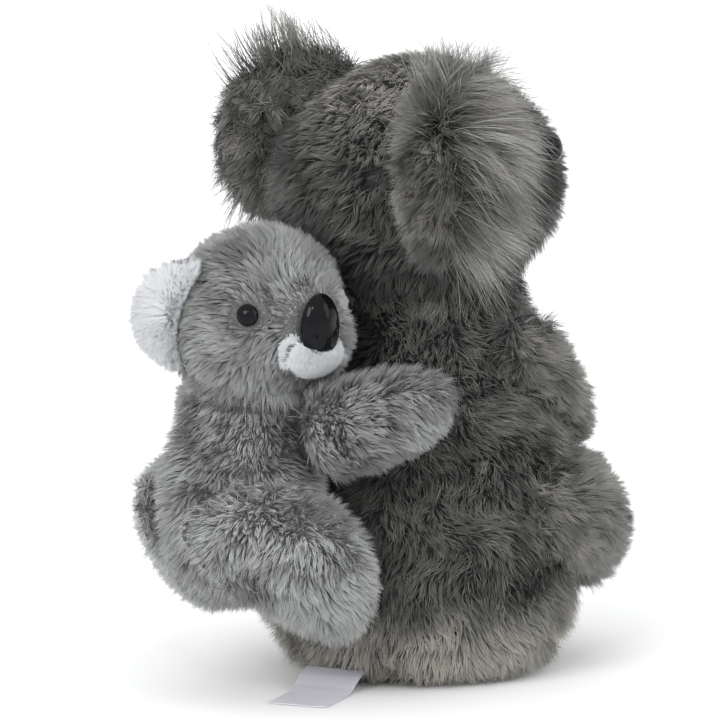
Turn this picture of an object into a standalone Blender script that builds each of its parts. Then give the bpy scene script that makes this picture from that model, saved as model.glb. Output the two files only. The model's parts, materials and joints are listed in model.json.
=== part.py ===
"""A plush koala that sits upright with her cub sewn to her back.

Metres, +Z up. The mother faces -Y, her right side is -X, and the cub hangs on her back at +Y with its
head turned towards -X. The origin is on the flat that she sits on, under the middle of her body.
"""

import math

import bmesh
import bpy
from mathutils import Matrix, Vector

MM = 0.001
COLLECTION_NAME = "plush_koala"
CUTTERS_NAME = "plush_koala_cutters"

# Clearances and overruns
GAP = 0.3 * MM
SWEEP_GAP = 0.6 * MM
SOFT_GAP = 1.2 * MM
CUT_OVERRUN = 60 * MM
WELD_DISTANCE = 0.02 * MM

# Plush: pile and backing together, as thick as a skin is drawn
MOTHER_PLUSH = 8 * MM
CUB_PLUSH = 6 * MM

# Mother's body, a turned pear that sits flat
BODY_HALF_WIDTH = 76 * MM
BODY_HALF_DEPTH = 73 * MM
BODY_NECK_HEIGHT = 178 * MM
SITTING_FLAT_DEPTH = 0.5 * MM
BODY_RADIUS_SHARES = (0, 0.50, 0.70, 0.81, 0.905, 0.985, 1, 0.94, 0.84, 0.73, 0.65, 0.59, 0.42, 0)
BODY_HEIGHT_SHARES = (0, 0, 0.014, 0.05, 0.12, 0.25, 0.40, 0.56, 0.71, 0.83, 0.92, 1.01, 1.09, 1.12)

# Mother's head
HEAD_HALF_WIDTH = 65 * MM
HEAD_HALF_DEPTH = 66 * MM
HEAD_HALF_HEIGHT = 55 * MM
HEAD_CENTRE_ABOVE_NECK = 46 * MM
HEAD_SET_BACK = 2 * MM

# Cub's body, a smaller pear
CUB_BODY_HALF_WIDTH = 40 * MM
CUB_BODY_HALF_DEPTH = 36 * MM
CUB_BODY_BOTTOM = 43 * MM
CUB_NECK_HEIGHT = 137 * MM
CUB_SET_BACK = 107 * MM
CUB_RADIUS_SHARES = (0, 0.45, 0.74, 0.92, 1, 0.98, 0.88, 0.76, 0.66, 0.45, 0)
CUB_HEIGHT_SHARES = (0, 0.02, 0.10, 0.22, 0.42, 0.60, 0.76, 0.90, 1.02, 1.10, 1.13)

# Cub's head
CUB_HEAD_HALF_WIDTH = 42 * MM
CUB_HEAD_HALF_DEPTH = 42 * MM
CUB_HEAD_HALF_HEIGHT = 41 * MM
CUB_HEAD_CENTRE_ABOVE_NECK = 35 * MM
CUB_HEAD_SET_BACK = 96 * MM
CUB_FACE_TURN_DEG = -94

# Heads are fuller at the cheeks than at the crown
HEAD_TAPER_SHARE = 0.11

# Places on a head, as shares of its half width, half depth and half height
MUZZLE_PLACE_SHARES = (0, -0.84, -0.27)
MUZZLE_SIZE_SHARES = (0.37, 0.31, 0.29)
NOSE_PLACE_SHARES = (0, -0.97, 0.06)
EYE_PLACE_SHARES = (0.77, -0.60, 0.26)
CUB_EYE_PLACE_SHARES = (0.70, -0.68, 0.21)
EAR_SEAM_SHARES = (0.78, 0.41, 0.27)
CUB_EAR_SEAM_SHARES = (0.84, 0.24, 0.08)

# Ears: a round pad each, sewn along a straight seam
EAR_RADIUS = 40 * MM
EAR_HALF_THICKNESS = 19 * MM
CUB_EAR_RADIUS = 25 * MM
CUB_EAR_HALF_THICKNESS = 8 * MM
EAR_BACKWARD_DEG = 50
EAR_UPWARD_DEG = 18
CUB_EAR_UPWARD_DEG = 5
EAR_CENTRE_SHARE = -0.23
EAR_LEAN_DEG = 12

# Safety eyes and noses: a domed cap on a stem, held by a washer inside
EYE_RADIUS = 7.5 * MM
CUB_EYE_RADIUS = 5.2 * MM
EYE_STEM_RADIUS = 2 * MM
CUB_EYE_STEM_RADIUS = 1.6 * MM
NOSE_HALF_WIDTH = 12.5 * MM
NOSE_HALF_HEIGHT = 18 * MM
NOSE_HALF_DEPTH = 9 * MM
NOSE_STEM_RADIUS = 2.5 * MM
CUB_NOSE_HALF_WIDTH = 8.6 * MM
CUB_NOSE_HALF_HEIGHT = 13 * MM
CUB_NOSE_HALF_DEPTH = 6.5 * MM
CUB_NOSE_STEM_RADIUS = 2 * MM
STEM_PAST_WASHER = 2 * MM
WASHER_THICKNESS = 1.6 * MM
WASHER_RIM = 4 * MM
CAP_HEIGHT_SHARE = 0.7
CAP_SINK_SHARE = 0.15
CAP_RADIUS_SHARES = (0, 0.38, 0.70, 0.92, 1, 0.90)
CAP_RISE_SHARES = (1, 0.93, 0.72, 0.40, 0, -0.22)
NOSE_STEPS = 5
NOSE_BACK_SHARE = 0.35
NARROW_FROM_SHARE = 1.05

# Mother's arms: shoulder, elbow and paw, as shares of her body's half width, half depth and height
ARM_SPINE_SHARES = ((-0.553, -0.164, 0.825), (-0.545, -0.500, 0.700), (-0.276, -0.870, 0.580))
ARM_SHOULDER_RADIUS = 28 * MM
ARM_ELBOW_RADIUS = 21 * MM
ARM_PAW_RADIUS = 16 * MM
ARM_LIFT_DEG = 45

# Mother's legs: hip, knee and foot, in the same shares
LEG_SPINE_SHARES = ((-0.620, -0.330, 0.416), (-0.585, -0.530, 0.400), (-0.342, -0.920, 0.303))
LEG_HINGE_SHARES = (-0.868, 0.055, 0.393)
LEG_HIP_RADIUS = 38 * MM
LEG_KNEE_RADIUS = 35 * MM
LEG_FOOT_RADIUS = 25 * MM
LEG_SPLAY_DEG = 25

# Cub's limbs, in shares of the cub's body: the two sides hold on differently
CUB_ARM_SPINE_SHARES = {
    "right": ((-0.65, -0.389, 0.819), (-1.6, -0.361, 0.936), (-1.625, -1.25, 1)),
    "left": ((0.65, -0.417, 0.777), (1.15, -0.639, 0.840), (1.55, -1.5, 0.904)),
}
CUB_RIGHT_SHOULDER_RADIUS = 23 * MM
CUB_RIGHT_ELBOW_RADIUS = 24 * MM
CUB_RIGHT_PAW_RADIUS = 20 * MM
CUB_LEFT_SHOULDER_RADIUS = 20 * MM
CUB_LEFT_ELBOW_RADIUS = 20 * MM
CUB_LEFT_PAW_RADIUS = 18 * MM
CUB_ARM_LIFT_DEG = 35
CUB_LEG_SPINE_SHARES = {
    "right": ((-0.50, 0.472, 0.351), (-1.20, -0.194, 0.330), (-0.85, -0.470, 0.053)),
    "left": ((0.55, 0.139, 0.404), (1.125, -0.361, 0.383), (0.875, -0.444, 0.085)),
}
CUB_RIGHT_HIP_RADIUS = 33 * MM
CUB_RIGHT_KNEE_RADIUS = 31 * MM
CUB_RIGHT_FOOT_RADIUS = 24 * MM
CUB_LEFT_HIP_RADIUS = 30 * MM
CUB_LEFT_KNEE_RADIUS = 28 * MM
CUB_LEFT_FOOT_RADIUS = 23 * MM
CUB_LEG_LIFT_DEG = 25
CUB_SWAY_HEIGHT = 95 * MM
CUB_SWAY_DEG = 6
CUB_NECK_TURN_DEG = 10
CUB_SWAY_PIVOT = (0, BODY_HALF_DEPTH, CUB_SWAY_HEIGHT)
LIMB_BLUNT_SHARE = 0.7

# Sewn-in label of folded satin tape
LABEL_WIDTH = 28 * MM
LABEL_LENGTH = 50 * MM
LABEL_THICKNESS = 0.9 * MM
LABEL_SEAM_HEIGHT = 8 * MM
LABEL_DROP_LENGTH = 24 * MM
LABEL_OFF_CENTRE = -8 * MM
LABEL_TURN_DEG = 27
LABEL_STEPS = 6
LABEL_LIFT_DEG = 20

# How finely the soft forms are divided
BODY_SIDES = 22
FILLING_SIDES = 18
HEAD_SIDES = 22
HEAD_RINGS = 14
FILLING_RINGS = 10
LIMB_SIDES = 14
LIMB_RINGS = 10
EAR_SIDES = 16
EAR_RINGS = 10
TRIM_SIDES = 16
MUZZLE_SIDES = 18
TRIM_RINGS = 10
WASHER_STEPS = 16

# Colour, roughness and metallic value of each material
MATERIALS = {
    "mother_plush": ((0.10, 0.095, 0.09, 1), 0.95, 0),
    "cub_plush": ((0.36, 0.38, 0.38, 1), 0.95, 0),
    "white_plush": ((0.75, 0.77, 0.79, 1), 0.95, 0),
    "filling": ((0.86, 0.85, 0.82, 1), 1, 0),
    "black_plastic": ((0.012, 0.013, 0.015, 1), 0.12, 0),
    "washer_plastic": ((0.70, 0.70, 0.68, 1), 0.5, 0),
    "label_satin": ((0.82, 0.82, 0.84, 1), 0.45, 0),
}


# Scene and materials


def clear_scene():
    for old in list(bpy.data.objects):
        bpy.data.objects.remove(old, do_unlink=True)


def new_collection(name):
    collection = bpy.data.collections.new(name)
    bpy.context.scene.collection.children.link(collection)
    return collection


def make_material(name):
    colour, roughness, metallic = MATERIALS[name]
    material = bpy.data.materials.new(name)
    material.use_nodes = True
    shader = material.node_tree.nodes["Principled BSDF"]
    shader.inputs["Base Color"].default_value = colour
    shader.inputs["Roughness"].default_value = roughness
    shader.inputs["Metallic"].default_value = metallic
    return material


class Workshop:
    """Keeps the two collections, the materials and the pieces that are made."""

    def __init__(self):
        self.parts = new_collection(COLLECTION_NAME)
        self.cutters = new_collection(CUTTERS_NAME)
        self.materials = {name: make_material(name) for name in MATERIALS}
        self.pieces = {}

    def piece(self, name, mesh, material, pivot=(0, 0, 0)):
        """Adds a real piece whose origin is its pivot."""
        mesh.transform(Matrix.Translation(-Vector(pivot)))
        mesh.materials.append(self.materials[material])
        mesh.shade_smooth()
        made = bpy.data.objects.new(name, mesh)
        made.location = pivot
        self.parts.objects.link(made)
        self.pieces[name] = made
        return made

    def cutter(self, name, mesh, place=None):
        """Adds a form that only cuts others."""
        made = bpy.data.objects.new(name, mesh)
        if place is not None:
            made.matrix_world = place
        made.display_type = "WIRE"
        made.hide_render = True
        self.cutters.objects.link(made)
        return made


def cut(piece, cutter):
    modifier = piece.modifiers.new(cutter.name, "BOOLEAN")
    modifier.operation = "DIFFERENCE"
    modifier.object = cutter


def weld_cut_edges(piece):
    """Merges the corners that crossing cuts leave almost on top of each other."""
    modifier = piece.modifiers.new("weld_cut_edges", "WELD")
    modifier.merge_threshold = WELD_DISTANCE


# Shapes


def mesh_from(name, bm):
    """Turns every face outwards and makes the mesh."""
    bmesh.ops.recalc_face_normals(bm, faces=bm.faces)
    if bm.calc_volume(signed=True) < 0:
        bmesh.ops.reverse_faces(bm, faces=bm.faces)
    mesh = bpy.data.meshes.new(name)
    bm.to_mesh(mesh)
    bm.free()
    return mesh


def warped_sphere(name, sides, rings, warp):
    """A unit sphere whose points are moved by warp(point, ring), ring 0 at the bottom."""
    bm = bmesh.new()
    bmesh.ops.create_uvsphere(bm, u_segments=sides, v_segments=rings, radius=1)
    for vert in bm.verts:
        height = max(-1, min(1, vert.co.z))
        ring = round((1 - math.acos(height) / math.pi) * rings)
        vert.co = warp(vert.co.copy(), ring)
    return mesh_from(name, bm)


def turned(name, sides, radii, heights, stretch=(1, 1), centre=(0, 0)):
    """A closed turned form whose rings have the given radii and heights."""

    def warp(point, ring):
        flat = Vector((point.x, point.y))
        if flat.length > 0:
            flat.normalize()
        across = centre[0] + flat.x * radii[ring] * stretch[0]
        deep = centre[1] + flat.y * radii[ring] * stretch[1]
        return Vector((across, deep, heights[ring]))

    return warped_sphere(name, sides, len(radii) - 1, warp)


def along(values, share):
    """The point at a share of the way along a smooth curve led by three values."""
    start, middle, end = (Vector(value) for value in values)
    return start * (1 - share) ** 2 + middle * 2 * share * (1 - share) + end * share**2


def swell(name, spine, radii, grow=0, sides=LIMB_SIDES, rings=LIMB_RINGS):
    """A stuffed limb: a ball drawn out along a curved spine while its radius changes."""
    chord = (Vector(spine[2]) - Vector(spine[0])).normalized()
    turn = chord.to_track_quat("Z", "Y")
    ring_radii = [(radius + grow, 0, 0) for radius in radii]

    def warp(point, ring):
        share = (1 + math.copysign(abs(point.z) ** LIMB_BLUNT_SHARE, point.z)) / 2
        radius = along(ring_radii, share).x
        return along(spine, share) + turn @ point * radius

    return warped_sphere(name, sides, rings, warp)


def mirrored(spine):
    return tuple((-x, y, z) for x, y, z in spine)


def body_places(body, shares):
    """Places on a body, given as shares of its half width, its half depth and its height."""
    tall = body["top"] - body["bottom"]
    return tuple(
        (x * body["half_width"], body["set_back"] + y * body["half_depth"], body["bottom"] + z * tall)
        for x, y, z in shares
    )


def box(name, low, high):
    bm = bmesh.new()
    bmesh.ops.create_cube(bm, size=1)
    size = Vector(high) - Vector(low)
    middle = (Vector(high) + Vector(low)) / 2
    bmesh.ops.scale(bm, vec=size, verts=bm.verts)
    bmesh.ops.translate(bm, vec=middle, verts=bm.verts)
    return mesh_from(name, bm)


def rod(name, radius, low, high, sides=TRIM_SIDES):
    """A closed cylinder about Z between two heights."""
    bm = bmesh.new()
    bmesh.ops.create_cone(
        bm, cap_ends=True, segments=sides, radius1=radius, radius2=radius, depth=high - low
    )
    bmesh.ops.translate(bm, vec=(0, 0, (high + low) / 2), verts=bm.verts)
    return mesh_from(name, bm)


def ring(name, bore, rim, low, high):
    """A flat washer about Z, turned from its rectangular section."""
    bm = bmesh.new()
    corners = [bm.verts.new((x, 0, z)) for x, z in ((bore, low), (rim, low), (rim, high), (bore, high))]
    edges = [bm.edges.new((corners[i - 1], corners[i])) for i in range(len(corners))]
    bmesh.ops.spin(
        bm,
        geom=corners + edges,
        cent=(0, 0, 0),
        axis=(0, 0, 1),
        angle=math.tau,
        steps=WASHER_STEPS,
        use_merge=True,
    )
    return mesh_from(name, bm)


# Forms that are both pieces and cutters


def pear(name, sides, shape, inset=0, grow=0):
    """A body: a turned pear, drawn in by inset for its inside, or grown to cut its neighbours."""
    tall = shape["top"] - shape["bottom"]
    offset = grow - inset
    radii = []
    heights = []
    top = shape["height_shares"][-1]
    for radius_share, height_share in zip(shape["radius_shares"], shape["height_shares"]):
        radii.append(max(shape["half_width"] * radius_share + offset, 0) if radius_share else 0)
        lift = inset * (1 - height_share / top) - grow * (1 - 2 * height_share / top)
        heights.append(shape["bottom"] + tall * height_share + lift)
    deep_share = shape["half_depth"] / shape["half_width"]
    return turned(name, sides, radii, heights, (1, deep_share), (0, shape["set_back"]))


def egg(name, head, inset=0, grow=0, sides=HEAD_SIDES, rings=HEAD_RINGS):
    """A head: a ball, fuller at the cheeks, about its own centre."""
    offset = grow - inset

    def warp(point, ring):
        fullness = 1 - HEAD_TAPER_SHARE * point.z
        x = point.x * (head["half_width"] * fullness + offset)
        y = point.y * (head["half_depth"] * fullness + offset)
        return head["frame"] @ Vector((x, y, point.z * (head["half_height"] + offset)))

    return warped_sphere(name, sides, rings, warp)


def head_point(head, shares):
    """A place on or in a head, in its own frame."""
    return Vector(
        (shares[0] * head["half_width"], shares[1] * head["half_depth"], shares[2] * head["half_height"])
    )


def blob(name, head, centre, sizes, grow=0):
    """A ball of three half sizes in a head's frame."""

    def warp(point, ring):
        moved = Vector([point[axis] * (sizes[axis] + grow) for axis in range(3)])
        return head["frame"] @ (Vector(centre) + moved)

    return warped_sphere(name, MUZZLE_SIDES, TRIM_RINGS, warp)


# Sweeps: where the larger neighbour lies as a piece moves through its range


def turned_about(pivot, axis, degrees):
    place = Matrix.Translation(Vector(pivot))
    return place @ Matrix.Rotation(math.radians(degrees), 4, Vector(axis)) @ place.inverted()


def cut_through_range(shop, piece, neighbour, pivot, axis, angles):
    """Cuts a piece by a neighbour as the piece sees it at each angle of its joint."""
    for angle in angles:
        mesh = neighbour["grown"] if angle else neighbour["touching"]
        name = f"{piece.name}_by_{mesh.name}_{angle:.0f}"
        cut(piece, shop.cutter(name, mesh, turned_about(pivot, axis, -angle)))


def seen_from(turns):
    """Where still things lie for a piece whose joints are turned so, the outermost joint first."""
    place = Matrix.Identity(4)
    for pivot, axis, degrees in turns:
        place = place @ turned_about(pivot, axis, degrees)
    return place.inverted()


def span(low, high):
    return (low, (low + high) / 2, high)


# Faces


def outward_frame(head, place, direction):
    """A frame at a place on a head whose Z points out along a direction."""
    turn = Vector(direction).normalized().to_track_quat("Z", "Y").to_matrix().to_4x4()
    return head["frame"] @ Matrix.Translation(place) @ turn


def surface_place(head, shares):
    """The point of a head's surface in the direction of a place, and the surface's normal there."""
    raw = head_point(head, shares)
    reach = 0
    for axis, half in enumerate((head["half_width"], head["half_depth"], head["half_height"])):
        fullness = 1 if axis == 2 else 1 - HEAD_TAPER_SHARE * shares[2]
        reach += (raw[axis] / (half * fullness)) ** 2
    point = raw / math.sqrt(reach)
    normal = Vector(
        (
            point.x / head["half_width"] ** 2,
            point.y / head["half_depth"] ** 2,
            point.z / head["half_height"] ** 2,
        )
    )
    return point, normal.normalized()


def capped_stem(name, radius, stem_radius, stem_end, grow=0):
    """A safety eye: a domed cap on a stem, turned about Z with the cap's rim at height zero."""
    radii = [0, stem_radius + grow, stem_radius + grow]
    heights = [stem_end - grow, stem_end - grow, radius * CAP_RISE_SHARES[-1] - grow]
    for radius_share, rise_share in reversed(list(zip(CAP_RADIUS_SHARES, CAP_RISE_SHARES))):
        rise = CAP_HEIGHT_SHARE if rise_share > 0 else 1
        side = grow * (1 if rise_share > 0 else -1) if rise_share else 0
        radii.append(radius * radius_share + (grow if radius_share else 0))
        heights.append(radius * rise_share * rise + side)
    return turned(name, TRIM_SIDES, radii, heights)


def add_eye(shop, head, skin, filling, side, label):
    """One eye, its washer, and the room for both in the skin and the filling."""
    across, deep, high = head["eye_place"]
    place, normal = surface_place(head, (across * side, deep, high))
    radius = head["eye_radius"]
    frame = outward_frame(head, place - normal * radius * CAP_SINK_SHARE, normal)
    inner = -head["plush"] - WASHER_THICKNESS / 2
    stem_end = inner - WASHER_THICKNESS - STEM_PAST_WASHER
    eye = capped_stem(f"{label}_eye", radius, head["eye_stem"], stem_end)
    room = capped_stem(f"{label}_eye_room", radius, head["eye_stem"], stem_end, GAP)
    add_fastened(shop, head, skin, filling, label + "_eye", frame, eye, room, head["eye_stem"], stem_end, inner)


def add_fastened(shop, head, skin, filling, name, frame, cap, room, stem_radius, stem_end, inner):
    """Adds a cap on a stem with its washer, and cuts their room."""
    pivot = head["pivot"]
    rim = stem_radius + WASHER_RIM
    washer = ring(f"{name}_washer", stem_radius + GAP, rim, inner - WASHER_THICKNESS, inner)
    for mesh in (cap, room, washer):
        mesh.transform(frame)
    shop.piece(name, cap, "black_plastic", pivot)
    shop.piece(f"{name}_washer", washer, "washer_plastic", pivot)
    pocket = rod(f"{name}_pocket", rim + GAP, stem_end - GAP * 2, inner + GAP)
    pocket.transform(frame)
    room_cutter = shop.cutter(f"{name}_room_cutter", room)
    pocket_cutter = shop.cutter(f"{name}_pocket_cutter", pocket)
    cut(skin, room_cutter)
    cut(skin, pocket_cutter)
    socket = rod(f"{name}_socket", rim + GAP, stem_end - GAP * 2, 0)
    socket.transform(frame)
    cut(filling, shop.cutter(f"{name}_socket", socket))
    return room_cutter


def add_nose(shop, head, skin, filling, muzzle, label):
    """The oval nose, which presses into the muzzle, with its stem and washer."""
    place = head_point(head, NOSE_PLACE_SHARES)
    wide, tall, deep = head["nose"]
    forward = (0, -1, 0)
    frame = outward_frame(head, place, forward)
    surface_depth = head["half_depth"] * (1 + NOSE_PLACE_SHARES[1])
    inner = surface_depth - head["plush"] - WASHER_THICKNESS
    stem_end = inner - WASHER_THICKNESS - STEM_PAST_WASHER
    meshes = []
    for suffix, grow in (("", 0), ("_room", GAP)):
        radii = [0, head["nose_stem"] + grow, head["nose_stem"] + grow]
        heights = [stem_end - grow, stem_end - grow, -deep * NOSE_BACK_SHARE - grow]
        for step in range(NOSE_STEPS + 1):
            angle = math.pi / 2 * step / NOSE_STEPS
            radii.append((tall + grow) * math.cos(angle) if step < NOSE_STEPS else 0)
            heights.append((deep + grow) * math.sin(angle) if step else 0)
        mesh = turned(f"{label}_nose{suffix}", TRIM_SIDES, radii, heights)
        narrow_cap(mesh, head["nose_stem"] + grow, (wide + grow) / (tall + grow))
        meshes.append(mesh)
    nose, room = meshes
    room_cutter = add_fastened(
        shop, head, skin, filling, label + "_nose", frame, nose, room, head["nose_stem"], stem_end, inner
    )
    cut(muzzle, room_cutter)


def narrow_cap(mesh, stem_radius, share):
    """Draws a turned cap in sideways to an oval, and leaves its round stem alone."""
    for vert in mesh.vertices:
        if math.hypot(vert.co.x, vert.co.y) > stem_radius * NARROW_FROM_SHARE:
            vert.co.x *= share


# Ears


def ear_axes(side, upward):
    """An ear's outward, seam and inner directions in its head's frame."""
    back = math.radians(EAR_BACKWARD_DEG)
    up = math.radians(upward)
    level = Vector((side * math.cos(back), math.sin(back), 0))
    rise = Vector((0, 0, 1))
    outward = level * math.cos(up) + rise * math.sin(up)
    seam = rise * math.cos(up) - level * math.sin(up)
    inner = outward.cross(seam) * side
    return outward, seam, inner


def add_ear(shop, head, side, name, neighbours):
    """A round pad that leans on its seam, cut by the head at both ends of its range."""
    outward, seam, inner = ear_axes(side, head["ear_upward"])
    across, deep, high = head["ear_place"]
    root, _ = surface_place(head, (across * side, deep, high))
    radius = head["ear_radius"]
    centre = root + outward * radius * EAR_CENTRE_SHARE
    turn = Matrix((seam, inner, outward)).transposed()

    def warp(point, ring):
        sizes = Vector((point.x * radius, point.y * head["ear_thickness"], point.z * radius))
        return head["frame"] @ (centre + turn @ sizes)

    pad = warped_sphere(name, EAR_SIDES, EAR_RINGS, warp)
    pivot = head["frame"] @ root
    axis = head["frame"].to_3x3() @ seam
    ear = shop.piece(name, pad, head["ear_material"], pivot)
    for neighbour in (head, *neighbours):
        cut_through_range(shop, ear, neighbour, pivot, axis, span(-EAR_LEAN_DEG, EAR_LEAN_DEG))
    head[f"{name}_seam"] = (pivot, axis)
    print(name, "hinge at", [round(v, 5) for v in pivot], "axis", [round(v, 4) for v in axis])


# Heads


def head_shape(prefix):
    """The sizes and the frame of the mother's or the cub's head."""
    mother = prefix == "mother"
    centre = (0, HEAD_SET_BACK if mother else CUB_HEAD_SET_BACK, 0)
    neck_height = BODY_NECK_HEIGHT if mother else CUB_NECK_HEIGHT
    height = neck_height + (HEAD_CENTRE_ABOVE_NECK if mother else CUB_HEAD_CENTRE_ABOVE_NECK)
    turn = 0 if mother else CUB_FACE_TURN_DEG
    frame = Matrix.Translation((0, centre[1], height)) @ Matrix.Rotation(math.radians(turn), 4, "Z")
    return {
        "frame": frame,
        "pivot": (0, centre[1], neck_height),
        "half_width": HEAD_HALF_WIDTH if mother else CUB_HEAD_HALF_WIDTH,
        "half_depth": HEAD_HALF_DEPTH if mother else CUB_HEAD_HALF_DEPTH,
        "half_height": HEAD_HALF_HEIGHT if mother else CUB_HEAD_HALF_HEIGHT,
        "plush": MOTHER_PLUSH if mother else CUB_PLUSH,
        "material": "mother_plush" if mother else "cub_plush",
        "ear_material": "mother_plush" if mother else "white_plush",
        "eye_place": EYE_PLACE_SHARES if mother else CUB_EYE_PLACE_SHARES,
        "ear_place": EAR_SEAM_SHARES if mother else CUB_EAR_SEAM_SHARES,
        "ear_upward": EAR_UPWARD_DEG if mother else CUB_EAR_UPWARD_DEG,
        "ear_radius": EAR_RADIUS if mother else CUB_EAR_RADIUS,
        "ear_thickness": EAR_HALF_THICKNESS if mother else CUB_EAR_HALF_THICKNESS,
        "eye_radius": EYE_RADIUS if mother else CUB_EYE_RADIUS,
        "eye_stem": EYE_STEM_RADIUS if mother else CUB_EYE_STEM_RADIUS,
        "nose_stem": NOSE_STEM_RADIUS if mother else CUB_NOSE_STEM_RADIUS,
        "nose": (
            (NOSE_HALF_WIDTH, NOSE_HALF_HEIGHT, NOSE_HALF_DEPTH)
            if mother
            else (CUB_NOSE_HALF_WIDTH, CUB_NOSE_HALF_HEIGHT, CUB_NOSE_HALF_DEPTH)
        ),
    }


def add_head(shop, prefix, ear_neighbours):
    """A head skin with its filling, muzzle, nose, eyes and ears."""
    head = head_shape(prefix)
    head["grown"] = egg(f"{prefix}_head_grown", head, grow=SWEEP_GAP)
    head["touching"] = egg(f"{prefix}_head_touching", head, grow=GAP)
    pivot = head["pivot"]
    plush = head["plush"]
    skin = shop.piece(f"{prefix}_head_skin", egg(f"{prefix}_head_skin", head), head["material"], pivot)
    inside = egg(f"{prefix}_head_inside", head, inset=plush, sides=FILLING_SIDES, rings=FILLING_RINGS)
    stuffing = egg(
        f"{prefix}_head_filling", head, inset=plush + GAP, sides=FILLING_SIDES, rings=FILLING_RINGS
    )
    filling = shop.piece(f"{prefix}_head_filling", stuffing, "filling", pivot)
    cut(skin, shop.cutter(f"{prefix}_head_inside", inside))
    below = neck_block(f"{prefix}_below_head", pivot, pivot[2] - CUT_OVERRUN, pivot[2] + GAP)
    below_cutter = shop.cutter(f"{prefix}_below_head", below)
    cut(skin, below_cutter)
    cut(filling, below_cutter)
    muzzle_centre = head_point(head, MUZZLE_PLACE_SHARES)
    muzzle_sizes = head_point(head, MUZZLE_SIZE_SHARES)
    muzzle_mesh = blob(f"{prefix}_muzzle", head, muzzle_centre, muzzle_sizes)
    muzzle = shop.piece(f"{prefix}_muzzle", muzzle_mesh, "white_plush", pivot)
    cut(muzzle, shop.cutter(f"{prefix}_muzzle_seat", head["touching"]))
    add_nose(shop, head, skin, filling, muzzle, prefix)
    for side, hand in ((-1, "right"), (1, "left")):
        add_eye(shop, head, skin, filling, side, f"{prefix}_{hand}")
        add_ear(shop, head, side, f"{prefix}_{hand}_ear", ear_neighbours.get(hand, ()))
    return head


def neck_block(name, pivot, low, high):
    reach = HEAD_HALF_WIDTH + CUT_OVERRUN
    return box(name, (-reach, pivot[1] - reach, low), (reach, pivot[1] + reach, high))


# Bodies


def body_shape(prefix):
    mother = prefix == "mother"
    return {
        "half_width": BODY_HALF_WIDTH if mother else CUB_BODY_HALF_WIDTH,
        "half_depth": BODY_HALF_DEPTH if mother else CUB_BODY_HALF_DEPTH,
        "bottom": -SITTING_FLAT_DEPTH if mother else CUB_BODY_BOTTOM,
        "top": BODY_NECK_HEIGHT if mother else CUB_NECK_HEIGHT,
        "set_back": 0 if mother else CUB_SET_BACK,
        "radius_shares": BODY_RADIUS_SHARES if mother else CUB_RADIUS_SHARES,
        "height_shares": BODY_HEIGHT_SHARES if mother else CUB_HEIGHT_SHARES,
        "plush": MOTHER_PLUSH if mother else CUB_PLUSH,
        "material": "mother_plush" if mother else "cub_plush",
    }


def add_body(shop, prefix, pivot):
    """A body skin, open at the neck, and the filling inside it."""
    shape = body_shape(prefix)
    shape["grown"] = pear(f"{prefix}_body_grown", BODY_SIDES, shape, grow=SWEEP_GAP)
    shape["touching"] = pear(f"{prefix}_body_touching", BODY_SIDES, shape, grow=GAP)
    plush = shape["plush"]
    outside = pear(f"{prefix}_body_skin", BODY_SIDES, shape)
    skin = shop.piece(f"{prefix}_body_skin", outside, shape["material"], pivot)
    inside = pear(f"{prefix}_body_inside", FILLING_SIDES, shape, inset=plush)
    stuffing = pear(f"{prefix}_body_filling", FILLING_SIDES, shape, inset=plush + GAP)
    filling = shop.piece(f"{prefix}_body_filling", stuffing, "filling", pivot)
    cut(skin, shop.cutter(f"{prefix}_body_inside", inside))
    neck = (0, shape["set_back"], shape["top"])
    above = neck_block(f"{prefix}_above_body", neck, shape["top"], shape["top"] + CUT_OVERRUN)
    above_cutter = shop.cutter(f"{prefix}_above_body", above)
    cut(skin, above_cutter)
    cut(filling, above_cutter)
    return shape, skin


# Limbs


def add_limb(shop, name, spine, radii, material, pivot, axis, angles, neighbours):
    """A stuffed limb, cut by its neighbours through its range."""
    limb = shop.piece(name, swell(name, spine, radii), material, pivot)
    for neighbour in neighbours:
        cut_through_range(shop, limb, neighbour, pivot, axis, angles)
    print(name, "hinge at", [round(v, 5) for v in pivot], "axis", axis, "angles", angles)
    return limb


def cut_by_leg(shop, arm, arm_turn, leg_name, leg_room, leg_turn):
    """Cuts an arm by the leg below it, with the leg lifted, the arm lifted, and both at once."""
    arm_pivot, arm_axis, arm_reach = arm_turn
    leg_pivot, leg_axis, leg_reach = leg_turn
    arm_lifts = span(0, arm_reach)
    leg_lifts = span(0, leg_reach)
    poses = [(0, lift) for lift in leg_lifts]
    poses += [(lift, 0) for lift in arm_lifts[1:]]
    poses += list(zip(arm_lifts[1:], leg_lifts[1:]))
    for arm_lift, leg_lift in poses:
        place = turned_about(arm_pivot, arm_axis, -arm_lift) @ turned_about(leg_pivot, leg_axis, leg_lift)
        name = f"{leg_name}_room_{arm_lift:.0f}_{leg_lift:.0f}"
        cut(arm, shop.cutter(name, leg_room, place))


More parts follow.
